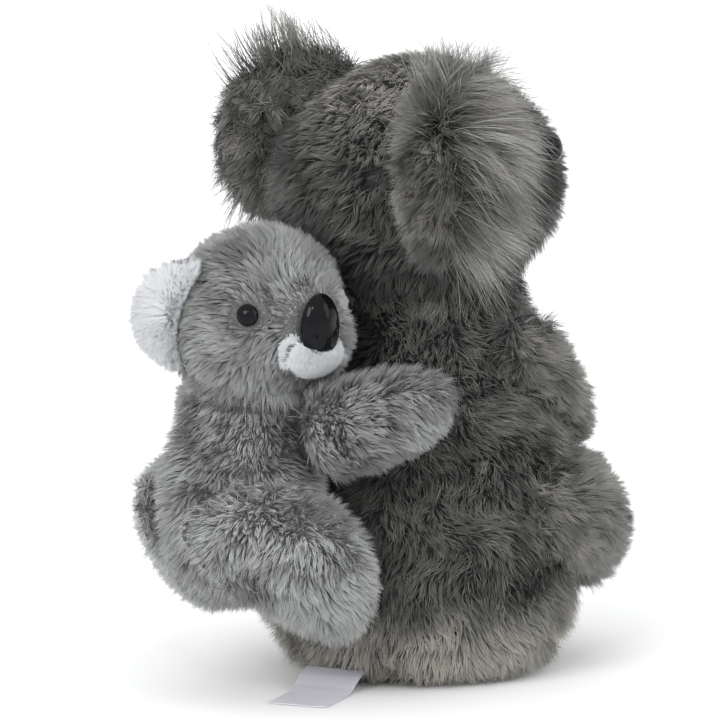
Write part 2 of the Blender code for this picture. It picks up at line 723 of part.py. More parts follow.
def add_mother_limbs(shop, body, head):
    leg_radii = (LEG_HIP_RADIUS, LEG_KNEE_RADIUS, LEG_FOOT_RADIUS)
    arm_radii = (ARM_SHOULDER_RADIUS, ARM_ELBOW_RADIUS, ARM_PAW_RADIUS)
    right_leg_spine = body_places(body, LEG_SPINE_SHARES)
    right_arm_spine = body_places(body, ARM_SPINE_SHARES)
    right_hinge = body_places(body, (LEG_HINGE_SHARES,))
    for side, hand in ((-1, "right"), (1, "left")):
        leg_spine = right_leg_spine if side < 0 else mirrored(right_leg_spine)
        arm_spine = right_arm_spine if side < 0 else mirrored(right_arm_spine)
        leg_pivot = (right_hinge if side < 0 else mirrored(right_hinge))[0]
        leg_name = f"mother_{hand}_leg"
        add_limb(
            shop,
            leg_name,
            leg_spine,
            leg_radii,
            "mother_plush",
            leg_pivot,
            (0, 0, side),
            span(0, LEG_SPLAY_DEG),
            (body,),
        )
        arm = add_limb(
            shop,
            f"mother_{hand}_arm",
            arm_spine,
            arm_radii,
            "mother_plush",
            arm_spine[0],
            (-1, 0, 0),
            span(0, ARM_LIFT_DEG),
            (body, head),
        )
        leg_room = swell(f"{leg_name}_room", leg_spine, leg_radii, SOFT_GAP)
        arm_turn = (arm_spine[0], (-1, 0, 0), ARM_LIFT_DEG)
        leg_turn = (leg_pivot, (0, 0, side), LEG_SPLAY_DEG)
        cut_by_leg(shop, arm, arm_turn, leg_name, leg_room, leg_turn)


def add_cub_limbs(shop, mother_body, body, head):
    leg_radii = {
        "right": (CUB_RIGHT_HIP_RADIUS, CUB_RIGHT_KNEE_RADIUS, CUB_RIGHT_FOOT_RADIUS),
        "left": (CUB_LEFT_HIP_RADIUS, CUB_LEFT_KNEE_RADIUS, CUB_LEFT_FOOT_RADIUS),
    }
    arm_radii = {
        "right": (CUB_RIGHT_SHOULDER_RADIUS, CUB_RIGHT_ELBOW_RADIUS, CUB_RIGHT_PAW_RADIUS),
        "left": (CUB_LEFT_SHOULDER_RADIUS, CUB_LEFT_ELBOW_RADIUS, CUB_LEFT_PAW_RADIUS),
    }
    for side, hand in ((-1, "right"), (1, "left")):
        leg_spine = body_places(body, CUB_LEG_SPINE_SHARES[hand])
        arm_spine = body_places(body, CUB_ARM_SPINE_SHARES[hand])
        leg_name = f"cub_{hand}_leg"
        leg = add_limb(
            shop,
            leg_name,
            leg_spine,
            leg_radii[hand],
            "cub_plush",
            leg_spine[0],
            (0, 0, side),
            span(0, CUB_LEG_LIFT_DEG),
            (body, mother_body),
        )
        arm = add_limb(
            shop,
            f"cub_{hand}_arm",
            arm_spine,
            arm_radii[hand],
            "cub_plush",
            arm_spine[0],
            (0, 0, side),
            span(0, CUB_ARM_LIFT_DEG),
            (body, head, mother_body),
        )
        leg_room = swell(f"{leg_name}_room", leg_spine, leg_radii[hand], SOFT_GAP)
        arm_turn = (arm_spine[0], (0, 0, side), CUB_ARM_LIFT_DEG)
        leg_turn = (leg_spine[0], (0, 0, side), CUB_LEG_LIFT_DEG)
        cut_by_leg(shop, arm, arm_turn, leg_name, leg_room, leg_turn)
        for limb in (leg, arm):
            for angle in (-CUB_SWAY_DEG, CUB_SWAY_DEG):
                place = turned_about(CUB_SWAY_PIVOT, (0, 1, 0), -angle)
                cut(limb, shop.cutter(f"{limb.name}_sway_{angle:.0f}", mother_body["grown"], place))


def cut_squeezed_ear(shop, head, mother_head, mother_body):
    """Cuts the cub's inner ear by the mother as the cub sways, turns and leans, one by one and together."""
    ear = shop.pieces["cub_left_ear"]
    ear_pivot, ear_axis = head["cub_left_ear_seam"]
    sway = (CUB_SWAY_PIVOT, (0, 1, 0), CUB_SWAY_DEG)
    turn = (head["pivot"], (0, 0, 1), CUB_NECK_TURN_DEG)
    lean = (ear_pivot, ear_axis, EAR_LEAN_DEG)
    for neighbour in (mother_head, mother_body):
        for pivot, axis, reach in (sway, turn):
            cut_through_range(shop, ear, neighbour, pivot, axis, (-reach, -reach / 2, reach))
        for share in (-1, -0.5, 0.5, 1):
            turns = [(pivot, axis, reach * share) for pivot, axis, reach in (sway, turn, lean)]
            name = f"cub_left_ear_by_{neighbour['grown'].name}_together_{share}"
            cut(ear, shop.cutter(name, neighbour["grown"], seen_from(turns)))


# Label


def add_label(shop, body):
    """A folded tab that drops from the seam at the foot of her back and lies along the floor."""
    seam_share = LABEL_SEAM_HEIGHT / BODY_NECK_HEIGHT
    upper = next(i for i, share in enumerate(BODY_HEIGHT_SHARES) if share > seam_share)
    low, high = BODY_HEIGHT_SHARES[upper - 1], BODY_HEIGHT_SHARES[upper]
    part = (seam_share - low) / (high - low)
    reach = BODY_RADIUS_SHARES[upper - 1] * (1 - part) + BODY_RADIUS_SHARES[upper] * part
    seam_depth = BODY_HALF_DEPTH * reach
    bm = bmesh.new()
    bmesh.ops.create_grid(bm, x_segments=1, y_segments=LABEL_STEPS, size=1)
    flat_height = LABEL_THICKNESS
    for vert in bm.verts:
        share = (vert.co.y + 1) / 2
        length = LABEL_LENGTH * share
        fall = min(length / LABEL_DROP_LENGTH, 1)
        drop = (LABEL_SEAM_HEIGHT - flat_height) * (1 - math.cos(math.pi * fall)) / 2
        vert.co = Vector((vert.co.x * LABEL_WIDTH / 2, length, -drop))
    bmesh.ops.solidify(bm, geom=bm.faces[:], thickness=LABEL_THICKNESS)
    mesh = mesh_from("side_label", bm)
    pivot = (LABEL_OFF_CENTRE, seam_depth + LABEL_THICKNESS, LABEL_SEAM_HEIGHT)
    turn = Matrix.Rotation(math.radians(LABEL_TURN_DEG), 4, "Z")
    mesh.transform(Matrix.Translation(pivot) @ turn)
    label = shop.piece("side_label", mesh, "label_satin", pivot)
    axis = turn.to_3x3() @ Vector((1, 0, 0))
    cut_through_range(shop, label, body, pivot, axis, span(0, LABEL_LIFT_DEG))
    print("side_label hinge at", [round(v, 5) for v in pivot], "axis", [round(v, 4) for v in axis])


# The whole toy


def main():
    clear_scene()
    shop = Workshop()
    mother_body, mother_skin = add_body(shop, "mother", (0, 0, 0))
    floor = box(
        "floor_flat",
        (-BODY_HALF_WIDTH - CUT_OVERRUN, -BODY_HALF_DEPTH - CUT_OVERRUN, -CUT_OVERRUN),
        (BODY_HALF_WIDTH + CUT_OVERRUN, BODY_HALF_DEPTH + CUT_OVERRUN, 0),
    )
    cut(mother_skin, shop.cutter("floor_flat", floor))
    mother_head = add_head(shop, "mother", {})
    add_mother_limbs(shop, mother_body, mother_head)
    cub_body, cub_skin = add_body(shop, "cub", CUB_SWAY_PIVOT)
    cut_through_range(
        shop,
        cub_skin,
        mother_body,
        CUB_SWAY_PIVOT,
        (0, 1, 0),
        span(-CUB_SWAY_DEG, CUB_SWAY_DEG),
    )
    cub_head = add_head(shop, "cub", {"left": (mother_head, mother_body)})
    cut_squeezed_ear(shop, cub_head, mother_head, mother_body)
    add_cub_limbs(shop, mother_body, cub_body, cub_head)
    add_label(shop, mother_body)
    for piece in shop.pieces.values():
        if piece.modifiers:
            weld_cut_edges(piece)


main()
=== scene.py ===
# %% [markdown]
# # A plush koala with her cub
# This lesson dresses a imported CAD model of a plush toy: a mother koala that sits with her back to us, and a
# cub sewn to her back. The CAD gives every stuffed form as deep as its fur. We make each form again as a
# cloth skin a few millimetres further in, and then grow the pile on it, lock by lock, as real meshes. Hair
# particles would be quicker to set up, but meshes bend with the CAD's bodies and can be exported.

# %% Load the frame
import json
import math

import bmesh
import bpy
import numpy as np
from mathutils import Matrix, Vector
from mathutils.bvhtree import BVHTree


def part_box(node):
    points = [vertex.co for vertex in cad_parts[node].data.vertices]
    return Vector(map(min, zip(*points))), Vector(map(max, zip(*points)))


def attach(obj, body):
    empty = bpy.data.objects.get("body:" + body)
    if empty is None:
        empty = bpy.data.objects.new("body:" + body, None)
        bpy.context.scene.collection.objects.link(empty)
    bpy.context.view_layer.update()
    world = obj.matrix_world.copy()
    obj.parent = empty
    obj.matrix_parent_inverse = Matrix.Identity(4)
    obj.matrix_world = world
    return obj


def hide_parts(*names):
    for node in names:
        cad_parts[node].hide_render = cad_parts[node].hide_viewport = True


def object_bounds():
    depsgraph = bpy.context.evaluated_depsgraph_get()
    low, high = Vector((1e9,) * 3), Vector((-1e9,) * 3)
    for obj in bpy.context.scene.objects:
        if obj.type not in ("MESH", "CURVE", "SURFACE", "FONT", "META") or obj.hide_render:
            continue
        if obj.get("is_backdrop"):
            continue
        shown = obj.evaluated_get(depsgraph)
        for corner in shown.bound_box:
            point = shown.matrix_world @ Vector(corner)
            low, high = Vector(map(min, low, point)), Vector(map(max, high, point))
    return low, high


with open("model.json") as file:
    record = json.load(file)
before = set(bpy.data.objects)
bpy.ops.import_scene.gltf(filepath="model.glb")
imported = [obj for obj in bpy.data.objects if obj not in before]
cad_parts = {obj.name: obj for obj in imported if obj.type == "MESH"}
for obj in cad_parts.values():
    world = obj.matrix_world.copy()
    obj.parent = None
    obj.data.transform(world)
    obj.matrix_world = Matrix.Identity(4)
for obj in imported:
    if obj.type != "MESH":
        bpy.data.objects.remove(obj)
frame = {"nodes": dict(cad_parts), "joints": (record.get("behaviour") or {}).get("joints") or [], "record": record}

MM = 0.001
cad_low, cad_high = (np.array(corner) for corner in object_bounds())
print("CAD box in mm", np.round(cad_low / MM, 1), np.round(cad_high / MM, 1))

# %% [markdown]
# ## The camera
# The photograph was taken from far off and a little above, from behind her right shoulder. A camera with
# parallel rays at the same angle gives the same picture: 2.247 pixels to the millimetre, with the middle of
# her base at pixel (420, 663) of 720.

# %% Camera
AZIMUTH, ELEVATION = math.radians(228), math.radians(12)
PX_PER_MM = 2.247
BASE_PIXEL = (420, 663)
IMAGE_PX = 720
CAMERA_AWAY = 1.5
right = np.array([math.cos(AZIMUTH), math.sin(AZIMUTH), 0])
back = np.array(
    [math.sin(AZIMUTH) * math.cos(ELEVATION), -math.cos(AZIMUTH) * math.cos(ELEVATION), math.sin(ELEVATION)]
)
up = np.cross(back, right)
middle = right * (IMAGE_PX / 2 - BASE_PIXEL[0]) - up * (IMAGE_PX / 2 - BASE_PIXEL[1])
camera_data = bpy.data.cameras.new("camera")
camera_data.type = "ORTHO"
camera_data.ortho_scale = IMAGE_PX / PX_PER_MM * MM
camera_data.clip_end = 20
camera = bpy.data.objects.new("camera", camera_data)
bpy.context.scene.collection.objects.link(camera)
turn = Matrix((right, up, back)).transposed().to_4x4()
camera.matrix_world = Matrix.Translation(Vector(middle / PX_PER_MM * MM + back * CAMERA_AWAY)) @ turn
bpy.context.scene.camera = camera
print("camera at", np.round(camera.location, 3), "sees", round(camera_data.ortho_scale, 4), "m")


# %% [markdown]
# ## Colours
# Colours are easiest to judge as they look on a screen, so we write them as 0 to 255 and turn them into the
# linear values that a shader wants. A colour ramp then spreads a few of them over a range.

# %% Colour helpers
def linear(red, green, blue):
    """A screen colour from 0 to 255 as linear values with alpha."""
    values = [value / 255 for value in (red, green, blue)]
    return tuple(v / 12.92 if v <= 0.04045 else ((v + 0.055) / 1.055) ** 2.4 for v in values) + (1.0,)


def new_material(name, roughness):
    material = bpy.data.materials.new(name)
    material.use_nodes = True
    shader = material.node_tree.nodes["Principled BSDF"]
    shader.inputs["Roughness"].default_value = roughness
    return material, material.node_tree.nodes, material.node_tree.links, shader


def ramp(nodes, links, source, stops):
    """A colour ramp that reads a source socket."""
    node = nodes.new("ShaderNodeValToRGB")
    points = node.color_ramp.elements
    while len(points) < len(stops):
        points.new(0.5)
    for point, (place, colour) in zip(points, stops):
        point.position = place
        point.color = linear(*colour)
    links.new(source, node.inputs["Fac"])
    return node.outputs["Color"]


def add_bump(nodes, links, shader, height, strength, distance):
    bump = nodes.new("ShaderNodeBump")
    bump.inputs["Strength"].default_value = strength
    bump.inputs["Distance"].default_value = distance
    links.new(height, bump.inputs["Height"])
    links.new(bump.outputs["Normal"], shader.inputs["Normal"])


# %% [markdown]
# ## Fur and its backing
# The fur's colour is read from a small chart on each lock's own map: across the chart the fur goes from the
# darkest locks to the palest, and up the chart from a lock's root to its tip. So one material gives every
# shade of a coat. A lock is a flat ribbon, and a renderer turns the normal round on the back of a face,
# which would leave the backs dark. We turn it round again there, so that a lock is lit alike from both
# sides.

# %% Fur and cloth materials
def fur_material(name, roots, tips, sheen, pale_from=0.10, pale_at=0.80):
    """Fur whose colour comes from its map: u from dark to pale locks, v from root to tip."""
    material, nodes, links, shader = new_material(name, 0.82)
    chart = nodes.new("ShaderNodeUVMap")
    chart.uv_map = "OFBake"
    split = nodes.new("ShaderNodeSeparateXYZ")
    links.new(chart.outputs["UV"], split.inputs["Vector"])
    fibres = nodes.new("ShaderNodeTexNoise")
    fibres.inputs["Scale"].default_value = 34
    fibres.inputs["Detail"].default_value = 3
    links.new(chart.outputs["UV"], fibres.inputs["Vector"])
    blend = nodes.new("ShaderNodeMapRange")
    blend.interpolation_type = "SMOOTHSTEP"
    blend.inputs["From Min"].default_value = pale_from
    blend.inputs["From Max"].default_value = pale_at
    links.new(split.outputs["Y"], blend.inputs["Value"])
    mix = nodes.new("ShaderNodeMix")
    mix.data_type = "RGBA"
    links.new(blend.outputs["Result"], mix.inputs["Factor"])
    links.new(ramp(nodes, links, split.outputs["X"], roots), mix.inputs["A"])
    links.new(ramp(nodes, links, split.outputs["X"], tips), mix.inputs["B"])
    tint = nodes.new("ShaderNodeMix")
    tint.data_type = "RGBA"
    tint.blend_type = "MULTIPLY"
    tint.inputs["Factor"].default_value = 0.35
    streaks = ramp(nodes, links, fibres.outputs["Fac"], ((0.3, (205, 205, 205)), (0.7, (255, 255, 255))))
    links.new(mix.outputs["Result"], tint.inputs["A"])
    links.new(streaks, tint.inputs["B"])
    links.new(tint.outputs["Result"], shader.inputs["Base Color"])
    shader.inputs["Sheen Weight"].default_value = sheen
    shader.inputs["Sheen Roughness"].default_value = 0.5
    shader.inputs["Specular IOR Level"].default_value = 0.25
    links.new(both_sides_alike(nodes, links), shader.inputs["Normal"])
    return material


def both_sides_alike(nodes, links):
    """The normal times 1 on a face's front and -1 on its back, where the renderer has turned it round."""
    surface = nodes.new("ShaderNodeNewGeometry")
    flip = nodes.new("ShaderNodeMath")
    flip.operation = "MULTIPLY_ADD"
    flip.inputs[1].default_value = -2
    flip.inputs[2].default_value = 1
    links.new(surface.outputs["Backfacing"], flip.inputs[0])
    outwards = nodes.new("ShaderNodeVectorMath")
    outwards.operation = "SCALE"
    links.new(surface.outputs["Normal"], outwards.inputs[0])
    links.new(flip.outputs["Value"], outwards.inputs["Scale"])
    return outwards.outputs["Vector"]


def cloth_material(name, dark, pale):
    """The knitted backing under the pile: a fine mesh of loops, hardly seen between the locks."""
    material, nodes, links, shader = new_material(name, 0.95)
    place = nodes.new("ShaderNodeTexCoord")
    loops = nodes.new("ShaderNodeTexVoronoi")
    loops.inputs["Scale"].default_value = 900
    links.new(place.outputs["Object"], loops.inputs["Vector"])
    knit = ramp(nodes, links, loops.outputs["Distance"], ((0.0, pale), (0.6, dark)))
    links.new(knit, shader.inputs["Base Color"])
    add_bump(nodes, links, shader, loops.outputs["Distance"], 0.4, 0.0003)
    return material


# %% [markdown]
# ## The coats' colours
# Her coat is a warm dark grey with paler tips, her ears are a little darker at the root and paler at the
# tip, and the cub is a cool mid grey. The cub's ears and both chin patches are white.

# %% Coats
mother_fur = fur_material(
    "mother_fur",
    roots=((0, (38, 37, 36)), (0.5, (76, 75, 72)), (1, (144, 141, 132))),
    tips=(
        (0, (70, 70, 68)),
        (0.35, (114, 113, 110)),
        (0.6, (150, 148, 142)),
        (0.8, (180, 177, 167)),
        (1, (208, 204, 192)),
    ),
    sheen=0.2,
)
ear_fur = fur_material(
    "ear_fur",
    roots=((0, (28, 27, 25)), (0.5, (56, 54, 51)), (1, (112, 109, 102))),
    tips=(
        (0, (84, 83, 80)),
        (0.35, (128, 126, 121)),
        (0.6, (160, 158, 152)),
        (0.8, (190, 189, 183)),
        (1, (216, 216, 210)),
    ),
    sheen=0.2,
    pale_from=0.18,
    pale_at=0.85,
)
cub_fur = fur_material(
    "cub_fur",
    roots=((0, (70, 72, 69)), (0.5, (116, 118, 115)), (1, (172, 174, 171))),
    tips=((0, (112, 114, 112)), (0.4, (164, 166, 164)), (0.7, (192, 194, 193)), (1, (214, 216, 216))),
    sheen=0.2,
)
white_fur = fur_material(
    "white_fur",
    roots=((0, (222, 225, 228)), (1, (234, 236, 239))),
    tips=((0, (232, 234, 237)), (0.5, (238, 240, 243)), (1, (244, 246, 248))),
    sheen=0.1,
)
mother_cloth = cloth_material("mother_cloth", (34, 32, 32), (60, 57, 56))
cub_cloth = cloth_material("cub_cloth", (84, 86, 84), (116, 118, 116))
white_cloth = cloth_material("white_cloth", (208, 211, 214), (228, 230, 233))
print(len(bpy.data.materials), "materials so far")


# %% [markdown]
# ## From CAD solid to cloth skin
# The CAD solids are cut so that they only just touch, and their faces are flat facets. A real skin is sewn
# from cloth and rounds over the filling. A fine voxel grid wraps each solid together with its filling in
# one closed skin, which we smooth as stretched cloth would smooth itself. A cloth simulation could do this
# too, but the pile hides the cloth, and smoothing takes a second instead of a minute. We keep meshes as
# arrays of points and triangles, because arrays of this size are quick to work on.

# %% Meshes as arrays
def mesh_arrays(mesh):
    """Points and triangles of a mesh as arrays."""
    mesh.calc_loop_triangles()
    points = np.zeros(len(mesh.vertices) * 3)
    mesh.vertices.foreach_get("co", points)
    faces = np.zeros(len(mesh.loop_triangles) * 3, int)
    mesh.loop_triangles.foreach_get("vertices", faces)
    return points.reshape(-1, 3), faces.reshape(-1, 3)


def tree_of(points, faces):
    """A search tree that finds the nearest face or the first one along a ray."""
    return BVHTree.FromPolygons(points.tolist(), faces.tolist())


def unit(vectors):
    return vectors / np.maximum(np.linalg.norm(vectors, axis=1, keepdims=True), 1e-9)


def vertex_normals(points, faces):
    """Normals at the points, from the faces round them."""
    corners = points[faces]
    across = np.cross(corners[:, 1] - corners[:, 0], corners[:, 2] - corners[:, 0])
    normals = np.zeros_like(points)
    for corner in range(3):
        np.add.at(normals, faces[:, corner], across)
    return normals / np.maximum(np.linalg.norm(normals, axis=1, keepdims=True), 1e-12)


PULL_IN, PUSH_OUT = 0.5, -0.53


def relax(points, faces, rounds, keep_volume=True):
    """Draws every point towards the middle of its neighbours, as taut cloth does."""
    ends = np.concatenate([faces[:, [0, 1]], faces[:, [1, 2]], faces[:, [2, 0]]])
    ends = np.concatenate([ends, ends[:, ::-1]])
    counts = np.bincount(ends[:, 0], minlength=len(points))[:, None]
    for step in range(rounds):
        for pull in (PULL_IN, PUSH_OUT) if keep_volume else (PULL_IN,):
            total = np.zeros_like(points)
            for axis in range(3):
                total[:, axis] = np.bincount(ends[:, 0], points[ends[:, 1], axis], len(points))
            points = points + pull * (total / counts - points)
    return points


# %% The voxel wrap
def joined_nodes(names):
    """Some CAD nodes as one mesh object, their loose triangles welded."""
    points, faces, start = [], [], 0
    for name in names:
        node_points, node_faces = mesh_arrays(frame["nodes"][name].data)
        points.append(node_points)
        faces.append(node_faces + start)
        start += len(node_points)
    merged = bpy.data.meshes.new("merged")
    merged.from_pydata(np.concatenate(points).tolist(), [], np.concatenate(faces).tolist())
    holder = bpy.data.objects.new("merged", merged)
    bpy.context.scene.collection.objects.link(holder)
    weld = holder.modifiers.new("weld", "WELD")
    weld.merge_threshold = 0.00002
    return holder


def shells_of(bm):
    """The separate shells of a bmesh, smallest first."""
    shells, seen = [], set()
    bm.verts.ensure_lookup_table()
    for first in bm.verts:
        if first.index in seen:
            continue
        shell, queue = [], [first]
        seen.add(first.index)
        while queue:
            vert = queue.pop()
            shell.append(vert)
            for edge in vert.link_edges:
                other = edge.other_vert(vert)
                if other.index not in seen:
                    seen.add(other.index)
                    queue.append(other)
        shells.append(shell)
    return sorted(shells, key=len)


def wrapped(names, voxel):
    """One closed skin round some CAD nodes, as points and triangles: the outermost shell of a voxel wrap."""
    holder = joined_nodes(names)
    wrap = holder.modifiers.new("wrap", "REMESH")
    wrap.mode = "VOXEL"
    wrap.voxel_size = voxel
    evaluated = holder.evaluated_get(bpy.context.evaluated_depsgraph_get())
    wrapped_mesh = bpy.data.meshes.new_from_object(evaluated)
    bpy.data.objects.remove(holder)
    bm = bmesh.new()
    bm.from_mesh(wrapped_mesh)
    for shell in shells_of(bm)[:-1]:
        bmesh.ops.delete(bm, geom=shell, context="VERTS")
    bmesh.ops.triangulate(bm, faces=bm.faces)
    bm.to_mesh(wrapped_mesh)
    bm.free()
    return mesh_arrays(wrapped_mesh)


def link_mesh(name, mesh, material):
    """A smooth object at the origin that shows a mesh."""
    mesh.materials.append(material)
    mesh.shade_smooth()
    made = bpy.data.objects.new(name, mesh)
    bpy.context.scene.collection.objects.link(made)
    return made


def set_mesh(name, points, faces, material):
    """A smooth mesh object from arrays."""
    mesh = bpy.data.meshes.new(name)
    mesh.from_pydata(points.tolist(), [], faces.tolist())
    return link_mesh(name, mesh, material)


# %% [markdown]
# ## Skins under the pile
# Each wrapped form goes inwards by the depth of its pile. Close to eyes, nose and chin patch the pile is
# short, so there the skin comes up to meet them. Where a limb or an ear faces its neighbour, its skin goes
# on into the neighbour's pile, as a sewn joint does.

# %% Bodies, joints and faces of the toy
body_names = {}
for body, nodes in frame["record"]["behaviour"]["bodies"].items():
    for node in nodes:
        body_names[node] = body
    body_names[body] = body
joint_places = {joint["child"]: joint for joint in frame["joints"]}


def middle_of(node):
    low, high = (np.array(corner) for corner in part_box(node))
    return (low + high) / 2


face_places = {}
for animal, eye_gap, nose_gap in (("mother", 6.5, 15), ("cub", 4.5, 11)):
    face_places[animal] = [(middle_of(f"{animal}_{hand}_eye"), eye_gap * MM) for hand in ("right", "left")]
    face_places[animal].append((middle_of(f"{animal}_nose"), nose_gap * MM))
    face_places[animal].append((middle_of(f"{animal}_muzzle"), nose_gap * MM))

# %% A skin
MEETING_DEPTH = {"mother": 5.2 * MM, "cub": 3.8 * MM, "cub_right_ear": 1.5 * MM, "cub_left_ear": 1.5 * MM}
MEETING_REACH = 3.2 * MM
FACE_FADE = 11 * MM
FACE_SHARE = 0.16
SKIN_ABOVE_FLOOR = 0.2 * MM
NECK_BAND = 4 * MM
forms = {}
solid_trees = {}
for node_name in frame["nodes"]:
    if not node_name.endswith(("_filling", "_washer", "_eye", "_nose", "_label")):
        node_points, node_faces = mesh_arrays(frame["nodes"][node_name].data)
        solid_trees[node_name] = (tree_of(node_points, node_faces), node_points)


def inside_box(place, points, reach):
    """The indices of places that lie within reach of the box round some points."""
    low, high = points.min(0) - reach, points.max(0) + reach
    return np.nonzero(np.all((place > low) & (place < high), axis=1))[0]


def facing(points, normals, own, reach):
    """Which points look straight at another solid within reach."""
    found = np.zeros(len(points), bool)
    for other, (tree, other_points) in solid_trees.items():
        if other in own:
            continue
        for index in inside_box(points, other_points, reach):
            if not found[index]:
                start = Vector(points[index] - normals[index] * 0.6 * MM)
                found[index] = tree.ray_cast(start, Vector(normals[index]), reach)[0] is not None
    return found


def add_skin(name, nodes, depth, material, near=(), flat_neck=None, voxel=0.0022):
    """A cloth skin under the pile: name is its body's, near lists (place, radius) where the pile is short."""
    points, faces = wrapped(nodes, voxel)
    points = relax(points, faces, 12)
    normals = vertex_normals(points, faces)
    depths = np.full(len(points), depth)
    for place, radius in near:
        gap = np.linalg.norm(points - np.array(place), axis=1) - radius
        share = np.clip(gap / FACE_FADE, 0, 1)
        depths = np.minimum(depths, depth * (FACE_SHARE + (1 - FACE_SHARE) * share * share * (3 - 2 * share)))
    if name.endswith(("_arm", "_leg", "_ear")):
        meeting = facing(points, normals, nodes, MEETING_REACH)
        depths[meeting] = -MEETING_DEPTH[name if name in MEETING_DEPTH else name.split("_")[0]]
    moved = points - normals * depths[:, None]
    if flat_neck is not None:
        level = np.abs(points[:, 2] - flat_neck) < NECK_BAND
        moved[level, 2] = points[level, 2]
    moved = relax(moved, faces, 4)
    moved[:, 2] = np.maximum(moved[:, 2], SKIN_ABOVE_FLOOR)
    skin = set_mesh(f"{name}_skin", moved, faces, material)
    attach(skin, body_names[name])
    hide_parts(*nodes)
    forms[name] = {
        "points": moved,
        "faces": faces,
        "normals": vertex_normals(moved, faces),
        "depths": np.maximum(depths, 0.5 * MM),
        "depth": depth,
        "tree": tree_of(moved, faces),
        "nodes": nodes,
        "mesh": skin.data,
    }
    print(name, len(faces), "triangles of skin")


# %% Skins of the bodies, heads, limbs, ears and chin patches
MOTHER_DEPTH, CUB_DEPTH = 6.5 * MM, 5 * MM
MOTHER_EAR_DEPTH, CUB_EAR_DEPTH, CHIN_DEPTH = 3 * MM, 3.5 * MM, 0.8 * MM
for animal, depth, cloth, voxel, body_neck, head_neck in (
    ("mother", MOTHER_DEPTH, mother_cloth, 0.0022, 0.178, 0.1783),
    ("cub", CUB_DEPTH, cub_cloth, 0.0018, 0.137, 0.1373),
):
    for part, near, neck in (("body", (), body_neck), ("head", face_places[animal], head_neck)):
        nodes = [f"{animal}_{part}_skin", f"{animal}_{part}_filling"]
        add_skin(f"{animal}_{part}", nodes, depth, cloth, near, neck, voxel)
for hand in ("right", "left"):
    for limb in ("ear", "arm", "leg"):
        depth = MOTHER_EAR_DEPTH if limb == "ear" else MOTHER_DEPTH
        add_skin(f"mother_{hand}_{limb}", [f"mother_{hand}_{limb}"], depth, mother_cloth)
        cub_slot, cloth = ("white_plush", white_cloth) if limb == "ear" else ("cub_plush", cub_cloth)
        depth = CUB_EAR_DEPTH if limb == "ear" else CUB_DEPTH
        add_skin(f"cub_{hand}_{limb}", [f"cub_{hand}_{limb}"], depth, cloth, voxel=0.0016)
for animal in ("mother", "cub"):
    add_skin(f"{animal}_muzzle", [f"{animal}_muzzle"], CHIN_DEPTH, white_cloth, voxel=0.0012)


# %% [markdown]
# ## Where locks grow
# A lock's root is a random place on the skin, found with one seeded generator so that each run gives the
# same coat. Roots that another skin covers are thinned out, and so are locks that would grow into an eye, a
# nose or a chin patch. Colours and lengths change over the coat, so there are smooth random fields for
# broad patches, and round spots that are placed by a pixel of the picture and sit on the form that shows
# there.

# %% Random fields and spots
rng = np.random.default_rng(20)


def waves(points, length, seed, count=10):
    """A smooth random field from -1 to 1 whose bumps are about that length."""
    own = np.random.default_rng(seed)
    total = np.zeros(len(points))
    for step in range(count):
        direction = own.normal(size=3)
        direction *= 2 * math.pi / length / np.linalg.norm(direction) * own.uniform(0.6, 1.4)
        total += np.sin(points @ direction + own.uniform(0, 2 * math.pi))
    return np.clip(total / math.sqrt(count) / 1.2, -1, 1)


def near_to(place, point, radius):
    """1 at a point, falling smoothly to 0 over the radius."""
    return np.exp(-((np.linalg.norm(place - np.array(point), axis=1) / radius) ** 2))


def seen_at(name, x, y):
    """The place on a form that shows at a pixel of the picture."""
    across = (x - BASE_PIXEL[0]) / PX_PER_MM * MM
    height = (BASE_PIXEL[1] - y) / PX_PER_MM * MM
    start = Vector(right * across + up * height + back * 0.6)
    hit = forms[name]["tree"].ray_cast(start, Vector(-back))[0]
    if hit is None:
        hit = forms[name]["tree"].find_nearest(Vector(right * across + up * height))[0]
    return np.array(hit)


def spots(name, table):
    """A field over a form: the sum of round spots, each (x, y, radius in mm, strength)."""
    places = [(seen_at(name, x, y), radius * MM, strength) for x, y, radius, strength in table]

    def field(place, normal=None):
        return sum(strength * near_to(place, spot, radius) for spot, radius, strength in places)

    return field


# %% Roots
def scatter(form, count, weight=None):
    """Random places on a skin: points, normals and depths, with even density unless weighted."""
    points, faces = form["points"], form["faces"]
    corners = points[faces]
    area = np.linalg.norm(np.cross(corners[:, 1] - corners[:, 0], corners[:, 2] - corners[:, 0]), axis=1) / 2
    if weight is not None:
        area = area * weight(corners.mean(1))
    steps = np.cumsum(area)
    picks = np.searchsorted(steps, (np.arange(count) + rng.random(count)) / count * steps[-1])
    picks = np.minimum(picks, len(faces) - 1)
    a, b = rng.random(count), rng.random(count)
    over = a + b > 1
    a[over], b[over] = 1 - a[over], 1 - b[over]
    shares = np.stack([1 - a - b, a, b], 1)[:, :, None]
    chosen = faces[picks]
    place = (points[chosen] * shares).sum(1)
    normal = unit((form["normals"][chosen] * shares).sum(1))
    depth = (form["depths"][chosen] * shares[:, :, 0]).sum(1)
    return place, normal, depth


def uncovered(name, place, normal, reach, keep_share):
    """Which roots look out past every other skin; a share of the covered ones is kept for the poses."""
    keep = np.ones(len(place), bool)
    for other, form in forms.items():
        if other == name:
            continue
        for index in inside_box(place, form["points"], reach):
            if not keep[index]:
                continue
            start, ahead = Vector(place[index]), Vector(normal[index])
            if form["tree"].ray_cast(start, ahead, reach)[0] is None:
                hit, outwards = form["tree"].find_nearest(start)[:2]
                if (start - hit).dot(outwards) >= 0:
                    continue
            keep[index] = False
    share = keep_share(place) if callable(keep_share) else keep_share
    return keep | (rng.random(len(place)) < share)


